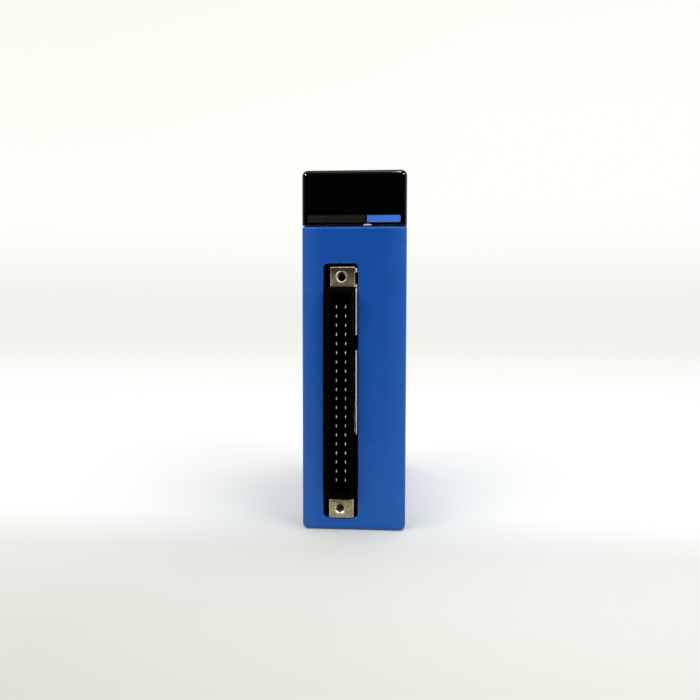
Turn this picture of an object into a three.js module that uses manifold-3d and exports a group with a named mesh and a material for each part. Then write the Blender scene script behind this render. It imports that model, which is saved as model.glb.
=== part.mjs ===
// A slim input module for a modular controller rack, standing upright as it hangs on its base.
// Millimetres, +Z up. X is the width, Y the depth with the front facing -Y, and the origin is the
// centre of the bottom face.
import * as THREE from "three";
import { mergeVertices } from "three/addons/utils/BufferGeometryUtils.js";
import Module from "manifold-3d";

const wasm = await Module();
wasm.setup();

// Casing
const caseWidth = 29;
const caseHeight = 100.4;
const caseDepth = 83.2;
const wallThickness = 1.5;
const frontWallThickness = 1.8;
const longEdgeRadius = 1.65;
const frontEdgeFillet = 1.4;
const seamGap = 0.3;
const fitGap = 0.3;
const coverDepth = 14;
const displayHeight = 15.15;
const shelfDepth = 9;
const topChamfer = 0.4;

// Notch for a tool in the foot of the display cover, and the latch whose nose shows in it
const pryNotchX = 3.7;
const pryNotchWidth = 2.9;
const pryNotchHeight = 0.5;
const latchNoseGap = 0.2;
const latchNoseWidth = 2.4;
const latchNoseSetback = 0.15;
const latchFootLength = 6;
const latchFootHeight = 1.1;
const latchCatchHeight = 2;
const latchCatchThickness = 0.8;

// Collar of the case that the two front covers slide over
const collarReach = 4;
const collarThickness = 1.2;
const collarRoot = 2;

// Latch nubs on the collar, and the heights at which the covers have windows for them
const latchHeight = 5;
const latchDepth = 1.4;
const latchInset = 0.8;
const latchSetback = 0.4;
const lowLatchZ = 14;
const highLatchDrop = 16.7;
const displayLatchLift = 6.5;

// Snap arms of the side cover, and the windows that they catch in
const snapY = 17;
const snapWidth = 6;
const snapLength = 6.5;
const snapThickness = 1.2;
const snapNub = 0.9;
const snapNubLength = 2.4;

// Cooling slots in the top and bottom walls
const ventCount = 9;
const ventPitch = 4;
const ventWidth = 1.6;
const ventLength = 8;
const ventMargin = 2.5;
const shortVentLength = 4;
const shortVentMargin = 0.5;
const ventMiddleY = 0;

// Board rails on the top and bottom walls
const railHeight = 2.5;
const railThickness = 1.2;
const railStartY = -18;
const railEndY = 24;

// Hook at the bottom of the rear wall
const hookWidth = 10;
const hookReach = 4;
const hookThickness = 2.4;
const hookBottom = 5;
const hookLip = 2.6;
const hookLipThickness = 1.5;

// Shallow field on the side cover for a blank label
const labelHeight = 52;
const labelDepth = 44;
const labelMiddleY = 6;
const labelMiddleZ = 46;
const labelRecess = 0.35;
const labelThickness = 0.2;
const labelMargin = 0.5;

// Two strips set into the foot of the display window
const stripLift = 0.78;
const stripHeight = 1.92;
const legendLeft = -12.85;
const legendWidth = 16;
const stripSpacing = 0.4;
const bandWidth = 9.2;
const stripRecess = 0.3;
const stripThickness = 0.25;
const stripMargin = 0.08;

// Front connector: two columns of blades in a raised shroud
const pinPitch = 2.54;
const connectorX = -3.57;
const bladeThickness = 0.35;
const bladeHeight = 1.1;
const bladeRise = 1.2;
const shroudWidth = 7.16;
const shroudCornerRadius = 0.4;
const shroudWall = 0.8;
const shroudEndWall = 1.4;
const shroudEndMargin = 4.95;
const shroudRise = 4.0;
const cavityDepth = 8.6;
const keyNotchHeight = 4.1;
const keyNotchOffset = 14;
const keyNotchDepth = 2.2;
const flangeGap = 0.4;
const flangeThickness = 5.9;
const flangeOverhang = 0.55;
const tailBlockDepth = 3.2;
const tailBlockMargin = 1.6;
const contactSlotGap = 0.3;
const contactSpineDepth = 1.0;
const contactSpineInset = 2.4;
const nearTailY = 2.2;
const tailSpacing = 1.8;
const tailThickness = 0.5;
const tailHeight = 0.6;

// Metal blocks at the connector's two ends
const blockWidth = 7.1;
const blockHeight = 5.95;
const blockRise = 0.6;
const blockGap = 0.3;
const upperBlockShift = 0.35;
const lowerBlockShift = 0.1;
const blockHoleRadius = 1.0;
const countersinkRadius = 1.4;
const countersinkDepth = 0.35;
const shankRadius = 2.0;
const shankTail = 2.6;
const nutAcrossFlats = 6.4;
const nutThickness = 2.0;

// Stamped screen along the connector's right side
const screenThickness = 0.45;
const screenGap = 0.09;
const screenDrop = 0.1;
const screenTopGap = 0.37;
const screenFootDrop = 10.84;
const screenNotchDepth = 1.7;
const blockNotchHeight = 3;
const blockNotchDrop = 0.1;
const middleNotchHeight = 4.2;
const middleNotchLift = 14.16;

// Opening of the front cover round the connector, and the least face above it
const openingFoot = 3.44;
const openingHead = 9;
const openingLeftMargin = 1.34;
const openingRightMargin = 0.27;
const openingTopMargin = 0.6;
const openingBottomMargin = 0.12;
const openingTopRadius = 0.9;
const openingFootRadius = 1.4;

// Main board
const boardThickness = 1.6;
const boardX = 2.2;
const boardFrontGap = 3.3;
const boardRearGap = 1.6;
const boardEdgeGap = 0.5;

// Rear connector
const rearX = -2.5;
const rearDrop = 40;
const rearPitch = 1.6;
const rearContacts = 18;
const rearNoseWidth = 5;
const rearNoseReach = 5.4;
const rearNoseMargin = 3;
const rearBaseMargin = 4;
const rearBaseDepth = 6.5;
const rearContactWidth = 0.8;
const rearContactThickness = 0.4;
const rearGrooveDepth = 0.7;
const rearTipSetback = 0.8;
const rearSpineDepth = 1.2;

// Display: a small board with four lamp bars behind a mask
const lampColumns = 8;
const lampRows = 4;
const lampPitchX = 2.6;
const lampPitchZ = 2.3;
const lampLift = 8.2;
const lampWindowWidth = 1.7;
const lampWindowHeight = 1.0;
const lampWidth = 1.0;
const lampHeight = 0.5;
const lampRise = 0.9;
const barHeight = 1.7;
const barDepth = 1.0;
const barMargin = 1.2;
const maskThickness = 1.6;
const maskBarGap = 0.2;
const lampBoardThickness = 1.2;
const lampBoardLift = 1.2;
const plugX = 6;
const plugWidth = 3.6;
const plugHeight = 7;
const plugDrop = 1;
const plugDepth = 2.4;
const tongueWidth = 1;
const tongueReach = 3;
const tongueMargin = 1;
const socketDepth = 4.6;

// Parts soldered to the main board
const couplerCount = 8;
const couplerPitch = 8.6;
const couplerFirstZ = 10;
const couplerY = -18;
const couplerLength = 10;
const couplerBody = 4.4;
const couplerHeight = 2;
const couplerLeadCount = 8;
const leadPitch = 1.2;
const leadWidth = 0.45;
const leadReach = 1.1;
const leadRise = 0.8;
const arrayCount = 4;
const arrayPitch = 17.2;
const arrayFirstZ = 14.3;
const arrayY = -6;
const arrayWidth = 4;
const arrayLength = 12;
const arrayHeight = 1.7;
const chipSize = 12;
const chipHeight = 1.8;
const chipY = 12;
const chipZ = 26;
const chipLeadCount = 9;
const canRadius = 3.15;
const canLength = 7;
const canY = 24;
const canFirstZ = 14;
const canPitch = 9;
const crystalLength = 5;
const crystalWidth = 3.2;
const crystalHeight = 1.2;
const crystalY = 12;
const crystalZ = 39;

// Release button at the top of the rear wall, with its spring and well
const buttonWidth = 11;
const buttonDepth = 10.4;
const buttonRise = 1.4;
const buttonLength = 9.4;
const buttonTravel = 2.5;
const wellWall = 1.2;
const wellDepth = 15.2;
const rearSlotMargin = 0.5;
const earReach = 1.1;
const earDepth = 3;
const earHeight = 2.9;
const earLift = 0.2;
const noseWidth = 7.6;
const noseReach = 3.2;
const noseDrop = 3;
const noseHeight = 3.6;
const noseTip = 1.2;
const gripRibs = 4;
const gripPitch = 2;
const gripWidth = 0.8;
const gripHeight = 0.5;
const springRadius = 2.1;
const springWire = 0.5;
const springTurns = 6;
const springPocketRadius = 3;
const springPocketDepth = 4;
const springSeatGap = 0.25;
const springLeastGap = 0.4;
const stepsPerTurn = 8;
const sidesOfWire = 5;

// Places that follow from the sizes above
const halfWidth = caseWidth / 2;
const frontY = -caseDepth / 2;
const rearY = caseDepth / 2;
const caseFrontY = frontY + coverDepth + seamGap;
const innerHalf = halfWidth - wallThickness;
const innerTop = caseHeight - wallThickness;
const innerRear = rearY - wallThickness;
const coverInnerY = frontY + frontWallThickness;
const displayBottom = caseHeight - displayHeight;
const frontCoverHeight = displayBottom - seamGap;
const frontLatchZ = [lowLatchZ, frontCoverHeight - highLatchDrop];
const displayLatchZ = displayBottom + displayLatchLift;
const stripBottom = displayBottom + stripLift;
const pryRadius = (pryNotchWidth ** 2 / 4 + pryNotchHeight ** 2) / (2 * pryNotchHeight);
const pryMiddleZ = displayBottom + pryNotchHeight - pryRadius;
const boardRight = boardX + boardThickness;
const boardFrontY = coverInnerY + boardFrontGap;
const boardRearY = innerRear - boardRearGap;
const boardBottom = wallThickness + boardEdgeGap;
const boardTop = innerTop - boardEdgeGap;
const endLength = openingBottomMargin + blockHeight + blockGap + shroudEndMargin;
const headLength = openingTopMargin + blockHeight + blockGap + shroudEndMargin;
const pinRoom = frontCoverHeight - openingFoot - endLength - headLength - openingHead;
const pinRows = Math.floor(pinRoom / pinPitch) + 1;
const pinSpan = (pinRows - 1) * pinPitch;
const connectorZ = openingFoot + endLength + pinSpan / 2;
const shroudHalf = pinSpan / 2 + shroudEndMargin;
const shroudTop = connectorZ + shroudHalf;
const shroudBottom = connectorZ - shroudHalf;
const flangeFrontY = coverInnerY + flangeGap;
const flangeRearY = flangeFrontY + flangeThickness;
const tailBlockRearY = flangeRearY + tailBlockDepth;
const upperBlockZ = shroudTop + blockGap + blockHeight / 2;
const lowerBlockZ = shroudBottom - blockGap - blockHeight / 2;
const screenX = connectorX + upperBlockShift + blockWidth / 2 + screenGap;
const openingLeft = connectorX - shroudWidth / 2 - openingLeftMargin;
const openingRight = screenX + screenThickness + openingRightMargin;
const openingTop = upperBlockZ + blockHeight / 2 + openingTopMargin;
const openingBottom = lowerBlockZ - blockHeight / 2 - openingBottomMargin;
const screenTop = openingTop - screenTopGap;
const screenBottom = connectorZ - screenFootDrop;
const rearZ = caseHeight - rearDrop;
const lampMiddleZ = displayBottom + lampLift;
const lampBoardBottom = displayBottom + lampBoardLift;
const plugZ = lampMiddleZ - plugDrop;
const noseTop = caseHeight - noseDrop;
const wellHalf = buttonWidth / 2 + fitGap;
const wellFrontY = rearY - fitGap - buttonDepth - fitGap;
const wellFloorZ = caseHeight - wellDepth;
const buttonTop = caseHeight + buttonRise;
const buttonBottom = buttonTop - buttonLength;
const buttonRearY = rearY - fitGap;
const buttonFrontY = buttonRearY - buttonDepth;

// Solids
const nudge = 0.5; // how far a cutting tool runs past the face that it cuts

function solidFrom(geometry) {
  const loose = geometry.index ? geometry.toNonIndexed() : geometry.clone();
  loose.deleteAttribute("normal");
  loose.deleteAttribute("uv");
  const merged = mergeVertices(loose, 1e-4);
  const corners = [];
  for (let i = 0; i < merged.index.count; i += 3) {
    const [a, b, c] = [0, 1, 2].map((k) => merged.index.getX(i + k));
    if (a !== b && b !== c && a !== c) corners.push(a, b, c);
  }
  const mesh = new wasm.Mesh({
    numProp: 3,
    vertProperties: merged.attributes.position.array,
    triVerts: new Uint32Array(corners),
  });
  return new wasm.Manifold(mesh);
}

function box([x0, x1], [y0, y1], [z0, z1]) {
  const geometry = new THREE.BoxGeometry(x1 - x0, y1 - y0, z1 - z0);
  geometry.translate((x0 + x1) / 2, (y0 + y1) / 2, (z0 + z1) / 2);
  return solidFrom(geometry);
}

// A box given by its middle and its size
function boxAt([x, y, z], [width, depth, height]) {
  return box(
    [x - width / 2, x + width / 2],
    [y - depth / 2, y + depth / 2],
    [z - height / 2, z + height / 2],
  );
}

// A rectangle with a radius of its own at each corner, anticlockwise from the low one
function roundedOutline([u0, u1], [v0, v1], radii) {
  const [lowLeft, lowRight, highRight, highLeft] = radii;
  const quarter = Math.PI / 2;
  const outline = new THREE.Shape();
  outline.moveTo(u0 + lowLeft, v0);
  outline.lineTo(u1 - lowRight, v0);
  if (lowRight) outline.absarc(u1 - lowRight, v0 + lowRight, lowRight, -quarter, 0);
  outline.lineTo(u1, v1 - highRight);
  if (highRight) outline.absarc(u1 - highRight, v1 - highRight, highRight, 0, quarter);
  outline.lineTo(u0 + highLeft, v1);
  if (highLeft) outline.absarc(u0 + highLeft, v1 - highLeft, highLeft, quarter, 2 * quarter);
  outline.lineTo(u0, v0 + lowLeft);
  if (lowLeft) outline.absarc(u0 + lowLeft, v0 + lowLeft, lowLeft, 2 * quarter, 3 * quarter);
  return outline;
}

// An outline in X and Z, drawn out along Y
function drawnAlongY(outline, [y0, y1], segments = 2) {
  const geometry = new THREE.ExtrudeGeometry(outline, {
    depth: y1 - y0,
    bevelEnabled: false,
    curveSegments: segments,
  });
  geometry.rotateX(Math.PI / 2);
  geometry.translate(0, y1, 0);
  return solidFrom(geometry);
}

// An outline in Y and Z, drawn out along X
function drawnAlongX(outline, [x0, x1]) {
  const geometry = new THREE.ExtrudeGeometry(outline, {
    depth: x1 - x0,
    bevelEnabled: false,
    curveSegments: 2,
  });
  const turn = new THREE.Matrix4().makeBasis(
    new THREE.Vector3(0, 1, 0),
    new THREE.Vector3(0, 0, 1),
    new THREE.Vector3(1, 0, 0),
  );
  geometry.applyMatrix4(turn);
  geometry.translate(x0, 0, 0);
  return solidFrom(geometry);
}

function polygon(points) {
  return new THREE.Shape(points.map(([u, v]) => new THREE.Vector2(u, v)));
}

// A turned shape about an axis along Y through (x, z): the profile is a list of [radius, y]
function turnedAboutY(profile, x, z, sides = 24) {
  const points = profile.map(([radius, y]) => new THREE.Vector2(radius, y));
  const geometry = new THREE.LatheGeometry(points, sides);
  geometry.translate(x, 0, z);
  return solidFrom(geometry);
}

function rodAlongY(radius, [y0, y1], x, z, sides = 24) {
  return turnedAboutY([[0, y0], [radius, y0], [radius, y1], [0, y1]], x, z, sides);
}

function rodAlongX(radius, [x0, x1], y, z, sides = 20) {
  const geometry = new THREE.CylinderGeometry(radius, radius, x1 - x0, sides);
  geometry.rotateZ(Math.PI / 2);
  geometry.translate((x0 + x1) / 2, y, z);
  return solidFrom(geometry);
}

function joined(solids) {
  return solids.reduce((whole, piece) => whole.add(piece));
}

function cutFrom(whole, tools) {
  return tools.reduce((rest, tool) => rest.subtract(tool), whole);
}

// Finishes
function finish(color, roughness, metalness = 0) {
  return new THREE.MeshStandardMaterial({ color, roughness, metalness });
}

const finishes = {
  blueCasing: finish(0x2459a4, 0.45),
  blackGloss: finish(0x0b0b0d, 0.08),
  darkLegend: finish(0x1c1c17, 0.3),
  brightBand: finish(0x4370d0, 0.3),
  blackInsulator: finish(0x0d0d0f, 0.5),
  nickel: finish(0x9a958a, 0.35, 1),
  tinned: finish(0xb9b9bb, 0.3, 1),
  boardGreen: finish(0x1d5a35, 0.5),
  chipBlack: finish(0x17181a, 0.6),
  arrayBlack: finish(0x1b1b1f, 0.55),
  canAluminium: finish(0xb4b7ba, 0.3, 1),
  lampClear: finish(0xd8efe0, 0.2),
  maskBlack: finish(0x101012, 0.7),
  releaseYellow: finish(0xe8b417, 0.45),
  springSteel: finish(0x9fa3a6, 0.3, 1),
  labelGrey: finish(0xc9ccce, 0.5),
  latchGrey: finish(0xc4c2c4, 0.25),
};

const group = new THREE.Group();

function place(name, solid, material) {
  const mesh = solid.getMesh();
  const geometry = new THREE.BufferGeometry();
  const values = new Float32Array(mesh.numVert * 3);
  for (let i = 0; i < mesh.numVert; i++) {
    for (let k = 0; k < 3; k++) values[3 * i + k] = mesh.vertProperties[i * mesh.numProp + k];
  }
  geometry.setAttribute("position", new THREE.BufferAttribute(values, 3));
  geometry.setIndex(new THREE.BufferAttribute(mesh.triVerts.slice(), 1));
  geometry.computeVertexNormals();
  const placed = new THREE.Mesh(geometry, material);
  placed.name = name;
  group.add(placed);
}

// The whole front as one block, with rounded long edges and a fillet round its face
function frontForm() {
  const depth = coverDepth + longEdgeRadius;
  const radii = [longEdgeRadius, longEdgeRadius, longEdgeRadius, longEdgeRadius];
  const outline = roundedOutline([-halfWidth, halfWidth], [0, caseHeight], radii);
  const geometry = new THREE.ExtrudeGeometry(outline, {
    depth,
    bevelEnabled: true,
    bevelThickness: frontEdgeFillet,
    bevelSize: frontEdgeFillet,
    bevelOffset: -frontEdgeFillet,
    bevelSegments: 3,
    curveSegments: 2,
  });
  geometry.rotateX(Math.PI / 2);
  geometry.translate(0, frontY + depth + frontEdgeFillet, 0);
  return solidFrom(geometry);
}

function acrossCase(z0, z1, y0, y1) {
  return box([-halfWidth - nudge, halfWidth + nudge], [y0, y1], [z0, z1]);
}

// The windows in both side walls of a cover for the collar's nubs at these heights
function latchWindows(heights) {
  const middleY = caseFrontY - collarReach + latchInset + latchDepth / 2;
  const size = [
    wallThickness + 2 * nudge,
    latchDepth + 2 * fitGap,
    latchHeight + 2 * fitGap,
  ];
  const middleX = halfWidth - wallThickness / 2;
  return heights.flatMap((z) => [
    boxAt([-middleX, middleY, z], size),
    boxAt([middleX, middleY, z], size),
  ]);
}

// Side walls, floor and shelf behind one face, open to the rear
function frontCover() {
  const backY = frontY + coverDepth;
  const block = frontForm().intersect(
    acrossCase(-nudge, frontCoverHeight, frontY - nudge, backY),
  );
  const hollow = box(
    [-innerHalf, innerHalf],
    [coverInnerY, backY + nudge],
    [wallThickness, frontCoverHeight - wallThickness],
  );
  const behindShelf = box(
    [-innerHalf, innerHalf],
    [frontY + shelfDepth, backY + nudge],
    [wallThickness, frontCoverHeight + nudge],
  );
  const opening = drawnAlongY(
    roundedOutline(
      [openingLeft, openingRight],
      [openingBottom, openingTop],
      [openingFootRadius, openingFootRadius, openingTopRadius, openingTopRadius],
    ),
    [frontY - nudge, coverInnerY + nudge],
  );
  const edge = [
    [frontY - nudge, frontCoverHeight - topChamfer - nudge],
    [frontY + topChamfer + nudge, frontCoverHeight + nudge],
    [frontY - nudge, frontCoverHeight + nudge],
  ];
  const topEdge = drawnAlongX(polygon(edge), [-halfWidth - nudge, halfWidth + nudge]);
  const tools = [hollow, behindShelf, opening, topEdge];
  return cutFrom(block, [...tools, ...latchWindows(frontLatchZ)]);
}

// Front, top and side walls over the lamps, open below and to the rear
function displayCover() {
  const backY = frontY + coverDepth;
  const block = frontForm().intersect(
    acrossCase(displayBottom, caseHeight + nudge, frontY - nudge, backY),
  );
  const hollow = box(
    [-innerHalf, innerHalf],
    [coverInnerY, backY + nudge],
    [displayBottom - nudge, innerTop],
  );
  const field = box(
    [legendLeft - stripMargin, legendLeft + legendWidth + stripSpacing + bandWidth + stripMargin],
    [frontY - nudge, frontY + stripRecess],
    [stripBottom - stripMargin, stripBottom + stripHeight + stripMargin],
  );
  const notch = rodAlongY(pryRadius, [frontY - nudge, coverInnerY + nudge], pryNotchX, pryMiddleZ, 64);
  return cutFrom(block, [hollow, field, notch, ...latchWindows([displayLatchZ])]);
}

// A foot on the front cover's shelf: its nose fills the notch, and its catch stands behind the wall
function displayLatch() {
  const width = [pryNotchX - latchNoseWidth / 2, pryNotchX + latchNoseWidth / 2];
  const noseY = frontY + latchNoseSetback;
  const round = rodAlongY(pryRadius - latchNoseGap, [noseY, coverInnerY], pryNotchX, pryMiddleZ, 64);
  const nose = round.intersect(
    box(width, [noseY, coverInnerY], [frontCoverHeight, frontCoverHeight + latchFootHeight]),
  );
  const behind = coverInnerY + fitGap;
  const sill = box(
    width,
    [coverInnerY - nudge, behind + nudge],
    [frontCoverHeight, frontCoverHeight + seamGap - latchNoseGap / 2],
  );
  const foot = box(
    width,
    [behind, behind + latchFootLength],
    [frontCoverHeight, frontCoverHeight + latchFootHeight],
  );
  const hook = box(
    width,
    [behind, behind + latchCatchThickness],
    [frontCoverHeight, frontCoverHeight + latchCatchHeight],
  );
  return joined([nose, sill, foot, hook]);
}

function strip(x0, width) {
  const y0 = frontY + stripRecess - stripThickness;
  return box(
    [x0, x0 + width],
    [y0, y0 + stripThickness],
    [stripBottom, stripBottom + stripHeight],
  );
}

// One side of the collar: a tongue that reaches into the cover, on a root that joins it to the wall
function collarOnSide(side, [z0, z1]) {
  const outer = innerHalf - fitGap;
  const inner = outer - collarThickness;
  const between = (a, b) => (side < 0 ? [-b, -a] : [a, b]);
  const tongue = box(
    between(inner, outer),
    [caseFrontY - collarReach, caseFrontY + collarRoot],
    [z0, z1],
  );
  const root = box(
    between(inner, innerHalf + wallThickness / 2),
    [caseFrontY, caseFrontY + collarRoot],
    [z0, z1],
  );
  const nubY = caseFrontY - collarReach + latchInset;
  const nubs = [...frontLatchZ, displayLatchZ].map((z) =>
    box(
      between(inner, halfWidth - latchSetback),
      [nubY, nubY + latchDepth],
      [z - latchHeight / 2, z + latchHeight / 2],
    ),
  );
  return joined([tongue, root, ...nubs]);
}

function collarOnWall(atTop) {
  const outer = atTop ? innerTop - fitGap : wallThickness + fitGap;
  const inner = atTop ? outer - collarThickness : outer + collarThickness;
  const rooted = atTop ? innerTop + wallThickness / 2 : wallThickness / 2;
  const span = (a, b) => [Math.min(a, b), Math.max(a, b)];
  const reach = innerHalf - fitGap - collarThickness - fitGap;
  const width = [-innerHalf + fitGap, reach];
  const tongue = box(
    width,
    [caseFrontY - collarReach, caseFrontY + collarRoot],
    span(inner, outer),
  );
  const root = box(width, [caseFrontY, caseFrontY + collarRoot], span(inner, rooted));
  return tongue.add(root);
}

function boardSlot() {
  return box(
    [boardX - fitGap, boardRight + fitGap],
    [frontY, railEndY + nudge],
    [boardBottom - fitGap, boardTop + fitGap],
  );
}

function rails() {
  const made = [];
  for (const x of [boardX - fitGap - railThickness / 2, boardRight + fitGap + railThickness / 2]) {
    const middleY = (railStartY + railEndY) / 2;
    const size = [railThickness, railEndY - railStartY, railHeight + nudge];
    made.push(boxAt([x, middleY, wallThickness + (railHeight - nudge) / 2], size));
    made.push(boxAt([x, middleY, innerTop - (railHeight - nudge) / 2], size));
  }
  return made;
}

// The cooling slots on either side of the board, through the top and bottom walls
function ventTools() {
  const tools = [];
  const leftX = boardX - fitGap - railThickness - ventMargin - ventLength / 2;
  const rightX = boardRight + fitGap + railThickness + shortVentMargin + shortVentLength / 2;
  for (let i = 0; i < ventCount; i++) {
    const y = ventMiddleY + (i - (ventCount - 1) / 2) * ventPitch;
    for (const z of [wallThickness / 2, caseHeight - wallThickness / 2]) {
      const height = wallThickness + 2 * nudge;
      tools.push(boxAt([leftX, y, z], [ventLength, ventWidth, height]));
      if (Math.abs(Math.abs(y) - snapY) > snapWidth / 2 + ventWidth) {
        tools.push(boxAt([rightX, y, z], [shortVentLength, ventWidth, height]));
      }
    }
  }
  return tools;
}

function snapTools() {
  const tools = [];
  const endX = halfWidth - snapLength;
  for (const y of [-snapY, snapY]) {
    for (const z of [wallThickness / 2, caseHeight - wallThickness / 2]) {
      tools.push(
        box(
          [endX - fitGap, endX + snapNubLength + fitGap],
          [y - snapWidth / 2 - fitGap, y + snapWidth / 2 + fitGap],
          [z - wallThickness / 2 - nudge, z + wallThickness / 2 + nudge],
        ),
      );
    }
  }
  return tools;
}

// The well that the release button slides in, open at the top and through the rear wall
function wellSolid() {
  return box(
    [-wellHalf - wellWall, wellHalf + wellWall],
    [wellFrontY - wellWall, rearY - wallThickness / 2],
    [wellFloorZ - wellWall, caseHeight - wallThickness / 2],
  );
}

function wellTools() {
  const hollow = box(
    [-wellHalf, wellHalf],
    [wellFrontY, innerRear],
    [wellFloorZ, caseHeight + nudge],
  );
  const behind = box(
    [-wellHalf, wellHalf],
    [wellFrontY, rearY + nudge],
    [buttonBottom - buttonTravel - rearSlotMargin, caseHeight + nudge],
  );
  const middleY = (buttonFrontY + buttonRearY) / 2;
  const earTop = buttonBottom + earLift + earHeight;
  const earSlots = box(
    [-wellHalf - earReach, wellHalf + earReach],
    [middleY - earDepth / 2 - fitGap, middleY + earDepth / 2 + fitGap],
    [buttonBottom + earLift - buttonTravel - fitGap, earTop + fitGap],
  );
  return [hollow, behind, earSlots];
}

function anchorHook() {
  const arm = [
    [innerRear, hookBottom],
    [rearY + hookReach - hookLipThickness, hookBottom],
    [rearY + hookReach - hookLipThickness, hookBottom - hookLip],
    [rearY + hookReach, hookBottom - hookLip],
    [rearY + hookReach, hookBottom + hookThickness - hookLipThickness / 2],
    [rearY + hookReach - hookLipThickness / 2, hookBottom + hookThickness],
    [innerRear, hookBottom + hookThickness],
  ];
  return drawnAlongX(polygon(arm), [-hookWidth / 2, hookWidth / 2]);
}

// Left, top, bottom and rear walls, open at the front and on the right
function caseShell() {
  const radii = [longEdgeRadius, longEdgeRadius, longEdgeRadius, longEdgeRadius];
  const outline = roundedOutline([-halfWidth, halfWidth], [0, caseHeight], radii);
  const block = drawnAlongY(outline, [caseFrontY, rearY]);
  const hollow = box(
    [-innerHalf, halfWidth + nudge],
    [caseFrontY - nudge, innerRear],
    [wallThickness, innerTop],
  );
  const rearWindow = box(
    [rearX - rearNoseWidth / 2 - fitGap, rearX + rearNoseWidth / 2 + fitGap],
    [innerRear - nudge, rearY + nudge],
    [rearZ - rearNoseHalf() - fitGap, rearZ + rearNoseHalf() + fitGap],
  );
  const shell = cutFrom(block, [hollow]);
  const collarEnds = [wallThickness + fitGap, innerTop - fitGap];
  const fitted = joined([
    shell,
    collarOnSide(-1, collarEnds),
    collarOnWall(true),
    collarOnWall(false),
    ...rails(),
    wellSolid(),
    anchorHook(),
  ]);
  const tools = [rearWindow, boardSlot(), ...ventTools(), ...snapTools(), ...wellTools()];
  return cutFrom(fitted, tools);
}

function sideCover() {
  const z0 = wallThickness + seamGap;
  const z1 = innerTop - seamGap;
  const plate = box([innerHalf, halfWidth], [caseFrontY, innerRear - seamGap], [z0, z1]);
  const collar = collarOnSide(1, [z0 + fitGap, z1 - fitGap]);
  const arms = [];
  const endX = halfWidth - snapLength;
  for (const y of [-snapY, snapY]) {
    for (const atTop of [false, true]) {
      const outer = atTop ? innerTop - fitGap : wallThickness + fitGap;
      const inward = atTop ? -1 : 1;
      const span = (a, b) => [Math.min(a, b), Math.max(a, b)];
      const wide = [y - snapWidth / 2, y + snapWidth / 2];
      arms.push(
        box([endX, innerHalf + nudge], wide, span(outer, outer + inward * snapThickness)),
        box([endX, endX + snapNubLength], wide, span(outer - inward * snapNub, outer + inward * nudge)),
      );
    }
  }
  const labelField = boxAt(
    [halfWidth, labelMiddleY, labelMiddleZ],
    [2 * labelRecess, labelDepth + 2 * labelMargin, labelHeight + 2 * labelMargin],
  );
  return cutFrom(joined([plate, collar, ...arms]), [labelField]);
}

function sideLabel() {
  const x0 = halfWidth - labelRecess;
  return box(
    [x0, x0 + labelThickness],
    [labelMiddleY - labelDepth / 2, labelMiddleY + labelDepth / 2],
    [labelMiddleZ - labelHeight / 2, labelMiddleZ + labelHeight / 2],
  );
}

function contactX(column) {
  return connectorX + (column - 0.5) * pinPitch;
}

function pinZ(row) {
  return connectorZ + (row - (pinRows - 1) / 2) * pinPitch;
}

function contactSlot(column) {
  const wide = bladeThickness / 2 + contactSlotGap;
  const half = pinSpan / 2 + bladeHeight / 2 + contactSlotGap;
  return box(
    [contactX(column) - wide, contactX(column) + wide],
    [frontY - shroudRise, tailBlockRearY + nudge],
    [connectorZ - half, connectorZ + half],
  );
}

// The black body of the front connector: flange, raised shroud and the block that the tails leave
function connectorBody() {
  const flange = box(
    [openingLeft - flangeOverhang, boardX - fitGap],
    [flangeFrontY, flangeRearY],
    [openingBottom - flangeOverhang, openingTop + flangeOverhang],
  );
  const shroud = drawnAlongY(
    roundedOutline(
      [connectorX - shroudWidth / 2, connectorX + shroudWidth / 2],
      [shroudBottom, shroudTop],
      Array(4).fill(shroudCornerRadius),
    ),
    [frontY - shroudRise, flangeFrontY + nudge],
  );
  const tailBlock = box(
    [connectorX - shroudWidth / 2, connectorX + shroudWidth / 2],
    [flangeRearY - nudge, tailBlockRearY],
    [connectorZ - pinSpan / 2 - tailBlockMargin, connectorZ + pinSpan / 2 + tailBlockMargin],
  );
  const mouth = box(
    [connectorX - shroudWidth / 2 + shroudWall, connectorX + shroudWidth / 2 - shroudWall],
    [frontY - shroudRise - nudge, frontY - shroudRise + cavityDepth],
    [shroudBottom + shroudEndWall, shroudTop - shroudEndWall],
  );
  const keys = [-keyNotchOffset, keyNotchOffset].map((offset) =>
    boxAt(
      [connectorX + shroudWidth / 2, frontY - shroudRise, connectorZ + offset],
      [2 * shroudWall + nudge, 2 * keyNotchDepth, keyNotchHeight],
    ),
  );
  const postHoles = blockPlaces().map(([x, z]) =>
    rodAlongY(shankRadius + fitGap, [flangeFrontY - nudge, flangeRearY + nudge], x, z),
  );
  const body = joined([flange, shroud, tailBlock]);
  return cutFrom(body, [mouth, ...keys, ...postHoles, contactSlot(0), contactSlot(1)]);
}

function blockPlaces() {
  return [
    [connectorX + upperBlockShift, upperBlockZ],
    [connectorX + lowerBlockShift, lowerBlockZ],
  ];
}

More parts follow.
